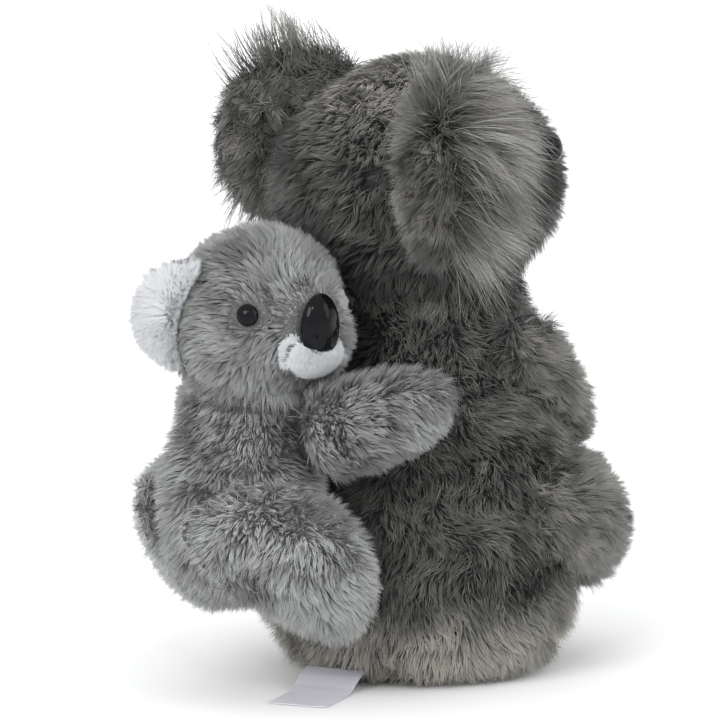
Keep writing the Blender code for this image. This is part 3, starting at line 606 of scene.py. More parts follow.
def closeness(place, names, reach):
    """How close each root is to some skins: 1 where they touch, 0 at reach."""
    share = np.zeros(len(place))
    for other in names:
        for index in inside_box(place, forms[other]["points"], reach):
            gap = forms[other]["tree"].find_nearest(Vector(place[index]), reach)[3]
            if gap is not None:
                share[index] = max(share[index], 1 - gap / reach)
    return share


# %% Eyes, noses and chin patches that the pile leaves free
hard = {}
for animal, nose_room in (("mother", 0.6), ("cub", 2.2)):
    for part, room in (("right_eye", 1.2), ("left_eye", 1.2), ("nose", nose_room)):
        points, faces = mesh_arrays(frame["nodes"][f"{animal}_{part}"].data)
        hard[f"{animal}_{part}"] = (tree_of(points, faces), points, room * MM)
    hard[f"{animal}_muzzle"] = (forms[f"{animal}_muzzle"]["tree"], forms[f"{animal}_muzzle"]["points"], 0)


def clear_of_hard_parts(name, lines):
    """Which locks pass no eye, nose or chin patch. lines holds points along each lock."""
    keep = np.ones(len(lines[0]), bool)
    for part, (tree, points, room) in hard.items():
        if part == name or part.split("_")[0] != name.split("_")[0]:
            continue
        for line in lines:
            for index in inside_box(line, points, room):
                hit, normal, _, gap = tree.find_nearest(Vector(line[index]))
                if gap < room or (Vector(line[index]) - hit).dot(normal) < 0:
                    keep[index] = False
    return keep


print(len(hard), "parts that no lock grows into")


# %% [markdown]
# ## Growing a lock
# Each lock is a flat ribbon of a few faces that tapers to a point. It leaves the skin steeply and then lies
# down the way the fur was combed. Where the combing runs straight off the skin it has no way to lie, so the
# locks stand up there instead of lying in a star. Next to another skin they lie flatter, as pile does over
# a seam. Neighbouring locks lean together in clumps, because fibres cling.

# %% How locks lie
LENGTH_SPREAD = (0.72, 1.18)
SHORTEST_LOCK = 0.22
SEAM_REACH = 0.5
SEAM_WIDTH = 7 * MM
SEAM_LIE = 0.85
ROOM = 0.03 * (cad_high - cad_low) + 9.5 * MM
low_limit, high_limit = cad_low - ROOM, cad_high + ROOM
low_limit[2] = 0.3 * MM


def on_skin(ways, normal):
    """Directions laid into the skin."""
    return unit(ways - (ways * normal).sum(1, keepdims=True) * normal)


def lock_roots(name, count, length, weight, keep_hidden, scale_by_depth):
    """Places, normals and lengths of the locks that can be seen."""
    form = forms[name]
    place, normal, depth = scatter(form, count, weight)
    long = length(place, normal) if callable(length) else np.full(len(place), length)
    long = long * rng.uniform(*LENGTH_SPREAD, len(place))
    if scale_by_depth:
        long = long * np.clip(depth / form["depth"], SHORTEST_LOCK, 1)
    keep = (place[:, 2] > 0.9 * MM) | (normal[:, 2] > -0.7)
    keep &= uncovered(name, place, normal, float(np.median(long)) * SEAM_REACH, keep_hidden)
    return place[keep], normal[keep], long[keep]


def combed(place, normal, comb, swirl, wander):
    """The way each lock lies on the skin, and how much of the combing runs along the skin."""
    flow = unit(comb(place, normal))
    slope = np.linalg.norm(np.cross(flow, normal), axis=1)
    swirls = np.stack([waves(place, 34 * MM, seed) for seed in (11, 12, 13)], 1)
    flow = on_skin(flow + swirl * swirls, normal)
    return on_skin(flow + wander * rng.normal(size=place.shape), normal), slope


def how_flat(name, place, normal, lie, slope, by_seams):
    """0 for locks that stand up, 1 for locks that lie flat."""
    lies = lie(place, normal) if callable(lie) else np.full(len(place), lie)
    lies = np.clip(lies + 0.15 * waves(place, 15 * MM, 14) + 0.10 * rng.normal(size=len(place)), 0.02, 0.97)
    lies = lies * (0.3 + 0.7 * np.clip(slope * 1.5, 0, 1))
    if by_seams:
        others = [other for other in forms if other != name]
        lies = lies + (SEAM_LIE - lies) * closeness(place, others, SEAM_WIDTH)
    return lies


def clump_leaders(place, spacing):
    """The index of each lock's clump leader, found on a coarse grid of cells."""
    offset = rng.uniform(0, spacing, 3)
    cells = np.floor((place + offset) / spacing).astype(int)
    keys = cells[:, 0] * 1000003 + cells[:, 1] * 10007 + cells[:, 2]
    order = rng.permutation(len(place))
    unique, first, inverse = np.unique(keys[order], return_index=True, return_inverse=True)
    leaders = np.empty(len(place), int)
    leaders[order] = order[first[inverse]]
    return leaders


def gathered(place, knee, tip, leader, clump, cling, tufting):
    """Draws the tips of a clump together, and clumps into tufts."""
    gather = tip[leader] - tip
    near = np.linalg.norm(gather, axis=1) < clump * 2.2
    tip = tip + gather * (cling * 0.8 * near)[:, None]
    knee = knee + (knee[leader] - knee) * (cling * 0.3 * near)[:, None]
    tuft = clump_leaders(place, clump * 2.6)
    gather = tip[tuft] - tip
    near = np.linalg.norm(gather, axis=1) < clump * 4.5
    tip = tip + gather * (tufting * rng.uniform(0.4, 1, len(place))[tuft] * near)[:, None]
    return np.clip(knee, low_limit, high_limit), np.clip(tip, low_limit, high_limit)


# %% [markdown]
# ## Ribbons
# The ribbon's width is spread over both sides of the lock's middle line, turned a little at random, and
# each row of points is narrower than the last. A primitive for each lock would be too slow for half a
# million of them, so one mesh takes the points of a whole coat at once. One smooth shading normal, near the
# skin's own, keeps the coat soft instead of glittering. The map called OFBake holds each lock's shade and
# height.

# %% Ribbon meshes
def ribbon_rows(centre, steps, place, normal, tip, width):
    """The points across each lock, from its root to its tip."""
    sides = unit(np.cross(tip - place, normal))
    twist = rng.uniform(-0.7, 0.7, len(place))[:, None]
    sides = unit(sides * np.cos(twist) + normal * np.sin(twist))
    thin = np.clip(np.linalg.norm(tip - place, axis=1) / (7 * MM), 0.45, 1)
    half = width * (thin * rng.uniform(0.7, 1.3, len(place)))[:, None] / 2
    rows = []
    for t, line in zip(steps[:-1], centre[:-1]):
        taper = 1 - 0.9 * t**1.5
        rows += [line - sides * half * taper, line + sides * half * taper]
    return np.stack(rows + [centre[-1]], 1)


def ribbon_mesh(name, points, steps, shade, soft):
    """One mesh of many ribbons: quads up to a last triangle, with their map and shading normals."""
    number, per = points.shape[:2]
    segments = len(steps) - 1
    quads = np.array([[2 * s, 2 * s + 1, 2 * s + 3, 2 * s + 2] for s in range(segments - 1)])
    last = np.array([2 * segments - 2, 2 * segments - 1, 2 * segments])
    starts = (np.arange(number) * per)[:, None]
    loops = np.concatenate([starts + quads.ravel()[None, :], starts + last[None, :]], 1)
    mesh = bpy.data.meshes.new(name)
    mesh.vertices.add(number * per)
    mesh.vertices.foreach_set("co", points.reshape(-1).astype(np.float32))
    mesh.loops.add(loops.size)
    mesh.loops.foreach_set("vertex_index", loops.ravel().astype(np.int32))
    sizes = np.tile(np.array([4] * (segments - 1) + [3]), number)
    mesh.polygons.add(len(sizes))
    mesh.polygons.foreach_set("loop_start", np.concatenate([[0], np.cumsum(sizes)[:-1]]).astype(np.int32))
    mesh.update(calc_edges=True)
    height = 0.02 + 0.96 * np.concatenate([np.repeat(steps[:-1], 2), [1]])
    across = np.concatenate([np.tile([-0.006, 0.006], segments), [0]])
    chart = np.stack([shade[:, None] + across[None, :], np.broadcast_to(height, (number, per))], 2)
    uv = mesh.uv_layers.new(name="OFBake")
    uv.data.foreach_set("uv", chart.reshape(-1, 2)[loops.ravel()].astype(np.float32).ravel())
    mesh.shade_smooth()
    mesh.normals_split_custom_set_from_vertices(np.repeat(soft, per, axis=0).tolist())
    return mesh


# %% A coat
def grow(
    name,
    suffix,
    count,
    length,
    width,
    comb,
    tone,
    material,
    slot,
    lie=0.55,
    wander=0.3,
    swirl=0.5,
    clump=2.4 * MM,
    cling=0.75,
    segments=2,
    droop=0.0,
    weight=None,
    keep_hidden=0.12,
    scale_by_depth=True,
    aim=None,
    tufting=0.3,
):
    """Grows locks on a form. comb gives a direction per root, tone a value from 0 to 1, lie how flat.

    Long hair has an aim instead: the way its tips point, whatever the skin below does.
    """
    place, normal, long = lock_roots(name, count, length, weight, keep_hidden, scale_by_depth)
    flow, slope = combed(place, normal, comb, swirl, wander)
    leader = clump_leaders(place, clump)
    lies = how_flat(name, place, normal, lie, slope, by_seams=aim is None)
    if aim is None:
        points_to = normal * np.sqrt(1 - lies**2)[:, None] + flow * lies[:, None]
        knee = place + (normal * 0.45 + flow * (0.08 * lies)[:, None]) * long[:, None]
    else:
        points_to = unit(aim(place, normal) + wander * rng.normal(size=place.shape))
        knee = place + (normal * 0.22 + points_to * 0.28) * long[:, None]
    tip = place + points_to * (long * 0.95)[:, None]
    tip[:, 2] -= droop * long
    knee, tip = gathered(place, knee, tip, leader, clump, cling, tufting)
    steps = np.linspace(0, 1, segments + 1)
    centre = np.stack([place * (1 - t) ** 2 + knee * 2 * t * (1 - t) + tip * t * t for t in steps])
    keep = clear_of_hard_parts(name, list(centre) + [(centre[-1] + centre[-2]) / 2])
    shade = np.clip(tone(place, normal, leader), 0.02, 0.98)[keep]
    centre, place, normal, tip = centre[:, keep], place[keep], normal[keep], tip[keep]
    points = ribbon_rows(centre, steps, place, normal, tip, width)
    soft = unit(normal * 0.8 + 0.5 * unit(tip - place))
    mesh = ribbon_mesh(f"{name}_{suffix}", points, steps, shade, soft)
    mesh.materials.append(material)
    coat = bpy.data.objects.new(mesh.name, mesh)
    bpy.context.scene.collection.objects.link(coat)
    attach(coat, body_names[name])
    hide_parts(forms[name]["nodes"][0])
    print(f"{coat.name}: {len(place)} locks, {len(place) * (2 * segments - 1)} triangles")


# %% [markdown]
# ## How the fur was combed
# On a sewn toy the nap runs away from the nose over the head, down the body, and along each limb. Each
# function here gives that direction at every root. A downward pull is added, as pile that has been handled
# hangs a little. A coat's tone is mottled: broad patches, clumps and single locks differ.

# %% Combing and tones
DOWN = np.array([0.0, 0.0, -1.0])
LEVEL = np.array([1, 1, 0])


def away_from(point, down=0.3):
    point = np.array(point)
    return lambda place, normal: unit(place - point) + DOWN * down


def along_limb(start, end, down=0.3):
    direction = np.array(end) - np.array(start)
    direction = direction / np.linalg.norm(direction)
    return lambda place, normal: direction + DOWN * down + 0 * place


def down_body(place, normal):
    return DOWN + 0.25 * normal * LEVEL


def towards_paw(shoulder, paw):
    """Along the arm at first, and more and more downwards over its round end."""
    reach = np.linalg.norm(paw - shoulder)

    def comb(place, normal):
        share = np.clip(np.linalg.norm(place - shoulder, axis=1) / reach, 0, 1) ** 3
        return (paw - shoulder) / reach * (1 - 0.6 * share)[:, None] + DOWN * (0.4 + 1.2 * share)[:, None]

    return comb


def mottled(base, spread, patch, clump_spread, seed, extra=None):
    """A tone per lock: broad patches, clumps and single locks, all lighter or darker than the base."""

    def tone(place, normal, leader):
        own = np.random.default_rng(seed)
        clumps = own.normal(size=len(place))[leader]
        value = base + patch * waves(place, 16 * MM, seed) + clump_spread * clumps
        value = value + spread * own.normal(size=len(place))
        return value if extra is None else value + extra(place, normal)

    return tone


mother_coat = dict(material=mother_fur, slot="mother_plush", width=0.5 * MM, clump=3.2 * MM)
mother_coat.update(swirl=0.8, wander=0.4, tufting=0.4)
cub_coat = dict(material=cub_fur, slot="cub_plush", width=0.42 * MM, clump=2.4 * MM)
white_tone = mottled(0.6, 0.06, 0.04, 0.04, 7)
white_coat = dict(material=white_fur, slot="white_plush", tone=white_tone, width=0.4 * MM)
nose = {animal: middle_of(f"{animal}_nose") for animal in ("mother", "cub")}

# %% [markdown]
# ## Her body and head
# Her back has shaggy pile that starts at a small whorl behind the cub, and its tone is painted paler towards the
# floor, as painted light from below. Her head is combed away from the nose, and on the crown the pile is shorter
# and lies flat, with a paler tone there that is painted light from above. Her body's coat is grown in two batches,
# so that no mesh gets too big.

# %% Her body and head
BACK_WHORL = seen_at("mother_body", 435, 505)
back_marks = spots(
    "mother_body",
    [(548, 455, 9, 0.22), (566, 595, 12, 0.30), (430, 570, 18, -0.06), (430, 640, 14, 0.12)],
)


# Painted light from below: the tone rises towards the floor, plus the spots of back_marks.
def low_painted_light_and_spots(place, normal):
    return 0.80 * np.clip((0.046 - place[:, 2]) / 0.034, 0, 1) + back_marks(place)


def her_back(place, normal):
    whorl = near_to(place, BACK_WHORL, 5 * MM)[:, None]
    return down_body(place, normal) + 1.4 * whorl * unit(place - BACK_WHORL)


def crown_share(place):
    """0 on her cheeks, 1 on the top of her head, where the pile is short and smooth."""
    return np.clip((place[:, 2] - 0.238) / 0.022, 0, 1)


# Painted light from above: the tone is raised on the top of her head, where light falls on it.
def crown_painted_light(place, normal):
    return 0.44 * crown_share(place)


def her_head_length(place, normal):
    return (12 - 3 * crown_share(place)) * MM


def her_head_lie(place, normal):
    return 0.5 + 0.28 * crown_share(place)


body_tone = mottled(0.26, 0.06, 0.10, 0.08, 3, low_painted_light_and_spots)
for batch in ("fur", "fur_more"):
    grow("mother_body", batch, 42000, 13 * MM, comb=her_back, tone=body_tone, lie=0.5, **mother_coat)
head_tone = mottled(0.17, 0.06, 0.10, 0.08, 6, crown_painted_light)
comb = away_from(nose["mother"], 0.6)
smoother = mother_coat | dict(swirl=0.45, tufting=0.25)
grow("mother_head", "fur", 56000, her_head_length, comb=comb, tone=head_tone, lie=her_head_lie, **smoother)

# %% [markdown]
# ## The cub's body and head
# The cub's pile is shorter and paler. Its face has a smooth pale band from the nose over the crown, dark
# rings round the eyes, and jowls that hang over the neck. White cheeks beside the nose carry the chin patch
# up round it, on white cloth, and a short fringe from the patch closes the gap between them.

# %% The cub's body and face
cub_head_middle = forms["cub_head"]["points"].mean(0)
forward = unit(((nose["cub"] - cub_head_middle) * LEVEL)[None])[0]
sideways = np.array([forward[1], -forward[0], 0])
eye_patch = spots("cub_head", [(270, 303, 5.5, 1)])
face_marks_and_brow_shade = spots(
    "cub_head",
    [
        # The first two spots darken the brow above the eye: painted shade.
        (240, 262, 12, -0.26),
        (250, 246, 12, -0.26),
        (300, 262, 14, -0.10),
        (272, 284, 6, -0.16),
        (212, 312, 10, -0.10),
        (262, 336, 6, -0.10),
        (286, 386, 8, 0.26),
        (320, 284, 6, 0.12),
        (352, 345, 8, 0.20),
    ],
)
far_cheek = spots("cub_head", [(356, 320, 13, 1), (350, 285, 10, 0.8), (352, 360, 12, 0.8)])
chin_sides = spots(
    "cub_head",
    [(293, 343, 3.4, 1), (291, 350, 3.2, 1), (290, 357, 2.8, 0.9), (343, 333, 4, 1), (347, 322, 3, 0.9)],
)
body_marks = spots("cub_body", [(250, 425, 14, -0.14), (240, 470, 12, -0.10), (190, 560, 16, 0.12)])


def pale_band(place):
    """The smooth pale band from the cub's nose over the crown, 1 inside and 0 outside."""
    offset = place - cub_head_middle
    height = np.clip((offset[:, 2] - 4 * MM) / (28 * MM), 0, 1)
    half = (9 + 11 * height) * MM
    return np.clip(1.5 - np.abs(offset @ sideways) / half, 0, 1) * np.clip(height * 6, 0, 1)


def by_ears(place):
    """1 next to the cub's ears, 0 from 9 mm on: there the head's pile stops at the seam."""
    return closeness(place, ("cub_right_ear", "cub_left_ear"), 9 * MM)


def jowl(place):
    """1 at the lowest rim of the cub's head, where tufts hang over the neck."""
    return np.clip((0.150 - place[:, 2]) / 0.012, 0, 1)


def cub_face(place, normal):
    return 0.14 * pale_band(place) - 0.42 * eye_patch(place) + face_marks_and_brow_shade(place)


def cub_head_comb(place, normal):
    share = by_ears(place)[:, None]
    return (unit(place - nose["cub"]) + DOWN * 0.45) * (1 - 0.85 * share) + DOWN * share


def face_length(place, normal):
    long = 9 - 6 * eye_patch(place) + 4.5 * far_cheek(place) + 4 * jowl(place)
    return long * (1 - 0.25 * by_ears(place)) * MM


def face_lie(place, normal):
    return 0.5 + 0.3 * near_to(place, nose["cub"], 24 * MM) + 0.15 * eye_patch(place)


def grey_weight(place):
    return 1 - 0.99 * np.clip(chin_sides(place) * 1.6, 0, 1)


def neck_kept(place):
    return 0.12 + 0.5 * jowl(place)


cub_tone = mottled(0.46, 0.07, 0.12, 0.12, 5, body_marks)
grow(
    "cub_body", "fur", 30000, 9.5 * MM, comb=down_body, tone=cub_tone, lie=0.45, keep_hidden=0.35, **cub_coat
)
face_tone = mottled(0.40, 0.07, 0.10, 0.10, 8, cub_face)
cub_face_coat = dict(comb=cub_head_comb, tone=face_tone, lie=face_lie, keep_hidden=neck_kept)
grow("cub_head", "fur", 60000, face_length, weight=grey_weight, **cub_face_coat, **cub_coat)

# %% The tuft beside the nose, and the white cheeks
tuft_at = spots("cub_head", [(341, 300, 5, 1)])
rim_of_patch = spots("cub_muzzle", [(297, 355, 3.5, 1), (302, 346, 3.5, 1), (341, 338, 2.5, 0.8)])


def tuft_weight(place):
    return np.clip(tuft_at(place) * 3 - 0.8, 0, 1)


def tuft_aim(place, normal):
    return normal * 0.45 + right * 0.85


def cheek_weight(place):
    return np.clip(chin_sides(place) * 4 - 1.2, 0, 1)


def rim_weight(place):
    return np.clip(rim_of_patch(place) * 4 - 1, 0, 1)


def rim_aim(place, normal):
    return unit(place - nose["cub"]) * 0.8 + normal * 0.3 + up * 0.45


tuft = dict(tone=mottled(0.72, 0.06, 0.05, 0.08, 18), comb=cub_head_comb, weight=tuft_weight, aim=tuft_aim)
grow("cub_head", "brow_tuft", 1800, 9 * MM, **tuft, **cub_coat)
cheek_hair = dict(comb=away_from(nose["cub"], 0.1), lie=0.6, clump=1.5 * MM, cling=0.1, tufting=0)
cheek_hair.update(swirl=0.2, keep_hidden=1, wander=0.15, scale_by_depth=False)
grow("cub_head", "white_cheeks", 9000, 4.5 * MM, weight=cheek_weight, **cheek_hair, **white_coat)
face_middles = forms["cub_head"]["points"][forms["cub_head"]["faces"]].mean(1)
forms["cub_head"]["mesh"].materials.append(white_cloth)
whites = (chin_sides(face_middles) > 0.25).astype(np.int32)
forms["cub_head"]["mesh"].polygons.foreach_set("material_index", whites)
grow("cub_muzzle", "cheek_fringe", 3200, 5.5 * MM, weight=rim_weight, aim=rim_aim, **cheek_hair, **white_coat)
print(whites.sum(), "faces of the cub's head skin are white")


# %% [markdown]
# ## Limbs, the cub's ears and the chin patches
# Each limb is a small stuffed bag, combed from its seam to its paw. The cub's ears are short white fluff.
# The chin patches are smooth white pile that gets longer towards their top.

# %% Limbs, ears and chins
# Her arms and legs take a paler tone than her body: painted rim light.
LIMB_TONE_PAINTED_RIM_LIGHT = mottled(0.42, 0.06, 0.10, 0.09, 4)
arm_marks = spots("cub_right_arm", [(385, 405, 12, -0.16), (425, 440, 12, 0.12), (350, 470, 10, 0.12)])
thigh_marks = spots("cub_right_leg", [(250, 492, 10, -0.20), (230, 560, 10, 0.06), (330, 600, 16, 0.14)])
white_fluff = dict(clump=2.2 * MM, cling=0.45, tufting=0.2, swirl=0.3, wander=0.4, **white_coat)
white_fluff.update(keep_hidden=0.08)


def far_thigh(place, normal):
    """The cub's far leg is in full light, so it is paler all over."""
    return 0.26


def seam_place(name):
    return np.array(joint_places[name]["pos_m"])


def grow_mother_limbs(hand):
    shoulder = seam_place(f"mother_{hand}_arm")
    paw = middle_of(f"mother_{hand}_arm") + [0, -0.03, -0.03]
    comb = along_limb(shoulder, paw, 0.4)
    grow(f"mother_{hand}_arm", "fur", 17000, 13 * MM, comb=comb, tone=LIMB_TONE_PAINTED_RIM_LIGHT, lie=0.5, **mother_coat)
    comb = away_from(seam_place(f"mother_{hand}_leg") + [0, 0.02, 0.03], 0.4)
    grow(f"mother_{hand}_leg", "fur", 22000, 13 * MM, comb=comb, tone=LIMB_TONE_PAINTED_RIM_LIGHT, lie=0.5, **mother_coat)


def grow_cub_limbs(hand, near):
    arm, leg, ear = f"cub_{hand}_arm", f"cub_{hand}_leg", f"cub_{hand}_ear"
    low, high = (np.array(corner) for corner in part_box(arm))
    paw = np.array([low[0] if near else high[0], low[1], (low[2] + high[2]) / 2])
    tone = mottled(0.38, 0.07, 0.12, 0.12, 15, arm_marks if near else None)
    grow(arm, "fur", 19000, 9.5 * MM, comb=towards_paw(seam_place(arm), paw), tone=tone, **cub_coat)
    points = forms[leg]["points"]
    whorl = points.mean(0) * LEVEL + [0, 0, points[:, 2].max() + 6 * MM]
    comb = away_from(whorl, 0.35) if near else along_limb((0, 0, 0), (0.8, -0.3, 0), 0.5)
    tone = mottled(0.62, 0.07, 0.12, 0.12, 16, thigh_marks if near else far_thigh)
    thigh = dict(lie=0.48 if near else 0.52, swirl=0.8 if near else 0.4, keep_hidden=0.45)
    grow(leg, "fur", 26000, 9.5 * MM, comb=comb, tone=tone, **thigh, **cub_coat)
    grow(ear, "fur", 28000, 7.5 * MM, comb=away_from(seam_place(ear), 0.1), lie=0.42, **white_fluff)


def chin_lengths(animal):
    """The chin patch's pile: short at its foot, longer from there to its top."""
    low, high = (corner[2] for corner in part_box(f"{animal}_muzzle"))

    def length(place, normal):
        return (1.3 + 2.2 * np.clip((place[:, 2] - low) / (high - low) * 1.6, 0, 1)) * MM

    return length


for hand in ("right", "left"):
    grow_mother_limbs(hand)
    grow_cub_limbs(hand, near=hand == "right")
chin = dict(clump=1.5 * MM, cling=0.3, lie=0.35, tufting=0.05, swirl=0.2, scale_by_depth=False, **white_coat)
for animal, count in (("mother", 14000), ("cub", 12000)):
    comb = away_from(nose[animal], 0.2)
    grow(f"{animal}_muzzle", "fur", count, chin_lengths(animal), comb=comb, **chin)


# %% [markdown]
# ## Her ears
# A koala's ears are round pads with long, pale, untidy hair. The pile parts along the rim, and the locks next to
# the parting are painted darker, as shade. Behind the rim it is shorter, and on the far ear, which faces away from
# the light, it is painted darker, as shade. In front of the rim long locks fan out past the cheek. A few wisps
# stand up from the top.

# %% Ears
long_tone = mottled(0.50, 0.10, 0.10, 0.22, 10)
NEAR_WHORL = (430, 128)
EAR_RADIUS = 0.035


def ear_axes(name):
    """An ear's directions: along its seam, outwards, and towards the side with the long hair."""
    joint = joint_places[name]
    root, seam = np.array(joint["pos_m"]), np.array(joint["axis"])
    out = forms[name]["points"].mean(0) - root
    out = out - (out @ seam) * seam
    out = out / np.linalg.norm(out)
    inner = np.cross(out, seam)
    return seam, out, inner * math.copysign(1, inner @ np.array([0, -1, 0]))


def grow_ear(name, near):
    seam, out, inner = ear_axes(name)
    centre = forms[name]["points"].mean(0)
    whorl = seen_at(name, *NEAR_WHORL) if near else centre + seam * 0.02

    def shares(place):
        """Where a root lies: towards the inside, up the seam, and outwards, in ear radii."""
        offset = (place - centre) / EAR_RADIUS
        high = offset @ seam
        ragged = 0.14 * waves(place, 13 * MM, 35)
        shift = 0.14 + 0.14 * high if near else 0
        return offset @ inner + ragged + shift, high, offset @ out

    def behind(place, normal):
        if near:
            return unit(place - whorl) * 0.75 - inner * 0.5 + out * 0.2 + normal * 0.45 + DOWN * 0.15
        high = shares(place)[1][:, None]
        return -inner * 0.3 + out * 0.3 + DOWN * 0.55 + high * seam * 0.4 + normal * 0.15

    def fan(place, normal):
        stray = waves(place, 12 * MM, 33)[:, None] * seam * 0.5
        if near:
            return inner * 0.8 + unit(place - whorl) * 0.55 + out * 0.25 + normal * 0.15 + stray
        high = shares(place)[1][:, None]
        return inner * 0.95 + out * 0.4 + (high - 0.5) * seam * 0.7 + normal * 0.1 + stray

    def upwards(place, normal):
        spread = waves(place, 14 * MM, 34)[:, None] * (inner if near else out) * 0.6
        return seam + out * (0.15 if near else 1.1) + spread

    coat = dict(material=ear_fur, slot="mother_plush", segments=3, scale_by_depth=False)
    coat.update(comb=along_limb((0, 0, 0), out, 0))

    def back_weight(place):
        return np.clip(0.45 - shares(place)[0] * 4, 0.03, 1)

    def inner_weight(place):
        inside, high, outer = shares(place)
        limit = 1 if near else np.clip(1.1 - high * 1.6, 0.12, 1)
        return np.clip(inside * 4 + 0.35, 0, 1) * np.clip(outer + 0.9, 0.1, 1) * limit

    def top_weight(place):
        _, high, outer = shares(place)
        edge = high if near else high + 0.7 * outer
        return np.clip(edge * 2.5 - 1.2, 0, 1)

    def painted_parting_shade_and_pale_rim(place, normal):
        """Darker where the pile parts, as painted shade in the parting, and paler at the rim."""
        inside = shares(place)[0]
        return -0.36 * np.exp(-((inside / 0.24) ** 2)) + 0.24 * np.clip(-inside - 0.45, 0, 0.5)

    def lengths(long):
        return lambda place, normal: long * MM * np.random.default_rng(41).uniform(0.55, 1.15, len(place))

    count, long = (17000, 17) if near else (15000, 12)
    # The far ear's back takes a much darker tone (0.12 against 0.38): painted shade, as it faces away from the
    # light.
    tone = mottled(0.38 if near else 0.12, 0.07, 0.12, 0.20, 9, painted_parting_shade_and_pale_rim if near else None)
    rough = dict(clump=4.2 * MM, cling=0.9, wander=0.42, tufting=0.6, **coat)
    at_back = dict(weight=back_weight, aim=behind, keep_hidden=0.05)
    grow(name, "fur", count, long * MM, 0.5 * MM, tone=tone, **at_back, **rough)
    in_front = dict(weight=inner_weight, aim=fan)
    tone = mottled(0.32, 0.08, 0.10, 0.20, 17, painted_parting_shade_and_pale_rim if near else None)
    grow(name, "inner_fur", 9000, 17 * MM, 0.45 * MM, tone=tone, **in_front, **rough)
    silky = coat | dict(tone=long_tone, segments=5, clump=6 * MM, cling=0.93, wander=0.3, tufting=0.45)
    count, long = (6500, 37) if near else (4500, 30)
    grow(name, "long_hair", count, lengths(long), 0.36 * MM, droop=0.22, **in_front, **silky)
    silky.update(clump=7 * MM, wander=0.2)
    count = 700 if near else 420
    grow(name, "wisps", count, lengths(33), 0.4 * MM, weight=top_weight, aim=upwards, **silky)


grow_ear("mother_right_ear", True)
grow_ear("mother_left_ear", False)

# %% [markdown]
# ## Eyes, noses and washers
# Safety eyes and noses are moulded in glossy black plastic. Each gets a fine new surface, wrapped round its
# CAD cap and stem and smoothed. A nose then gets a low ridge down its middle, and two shallow nostrils.

# %% Plastic
def plastic(name, colour, roughness, bump_strength):
    material, nodes, links, shader = new_material(name, roughness)
    place = nodes.new("ShaderNodeTexCoord")
    speckle = nodes.new("ShaderNodeTexNoise")
    speckle.inputs["Scale"].default_value = 260
    links.new(place.outputs["Object"], speckle.inputs["Vector"])
    pale = tuple(min(255, value + 5) for value in colour)
    surface = ramp(nodes, links, speckle.outputs["Fac"], ((0.35, colour), (0.7, pale)))
    links.new(surface, shader.inputs["Base Color"])
    add_bump(nodes, links, shader, speckle.outputs["Fac"], bump_strength, 0.0001)
    return material


gloss = plastic("gloss_black", (11, 12, 14), 0.08, 0.01)
gloss.node_tree.nodes["Principled BSDF"].inputs["Specular IOR Level"].default_value = 0.14
milky = plastic("milky_plastic", (205, 205, 200), 0.45, 0.1)


def shape_nose(name, points, normals):
    """Raises the ridge and sinks the nostrils, in shares of the nose's half width and half height."""
    animal = name.split("_")[0]
    middle = nose[animal]
    ahead = unit(((middle - forms[f"{animal}_head"]["points"].mean(0)) * LEVEL)[None])[0]
    across = np.array([ahead[1], -ahead[0], 0])
    half_height = (points[:, 2].max() - points[:, 2].min()) / 2
    side = (points - middle) @ across / (half_height * 0.68)
    high = (points[:, 2] - middle[2]) / half_height
    front = np.clip(normals @ ahead * 2, 0, 1)
    ridge = 0.045 * np.exp(-((side / 0.30) ** 2))
    ridge = ridge * np.clip((high + 0.45) * 2, 0, 1) * np.clip((0.9 - high) * 2.5, 0, 1)
    slot = (np.abs(side) - 0.42 - 0.25 * (high + 0.35)) / 0.17
    nostril = 0.075 * np.exp(-(slot**2) - ((high + 0.35) / 0.17) ** 2)
    lip = 0.012 * np.exp(-((np.hypot(np.abs(side) - 0.42, (high + 0.35) * 1.2) - 0.34) / 0.09) ** 2)
    return points + normals * ((ridge + lip - nostril) * front * half_height)[:, None]


# The cub's nose looks larger in the photo than the CAD nose, and a little further forward and lower.
CUB_NOSE_SPREAD = 1.2
CAP_ROUNDS = 110
CUB_NOSE_SHIFT = np.array([*(forward[:2] * 1.0 * MM), -0.7 * MM])
for name in list(frame["nodes"]):
    if name.endswith(("_eye", "_nose")):
        fine = (0.35 if name.startswith("cub") else 0.5) * MM
        points, faces = wrapped([name], fine)
        low, high = points.min(0), points.max(0)
        points = relax(points, faces, CAP_ROUNDS, keep_volume=False)
        share = (points - points.min(0)) / (points.max(0) - points.min(0))
        points = low + share * (high - low)
        if name == "cub_nose":
            points = nose["cub"] + (points - nose["cub"]) * CUB_NOSE_SPREAD + CUB_NOSE_SHIFT
        if name.endswith("_nose"):
            points = relax(shape_nose(name, points, vertex_normals(points, faces)), faces, 1)
        cap = set_mesh(f"{name}_cap", points, faces, gloss)
        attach(cap, body_names[name])
        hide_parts(name)
        print(cap.name, len(faces), "triangles, box in mm", np.round((high - low) / MM, 1))
    elif name.endswith("_washer"):
        node = frame["nodes"][name]
        node.data.materials.clear()
        node.data.materials.append(milky)

# %% [markdown]
# ## The label
# A satin tape, folded in half, is caught in the seam at the foot of her back. It drops to the floor and
# lies there. We read the CAD tape's run in its own plane, and lay two thin layers along it that meet in a
# round fold at the far end. It is woven from shiny thread, left bare here.

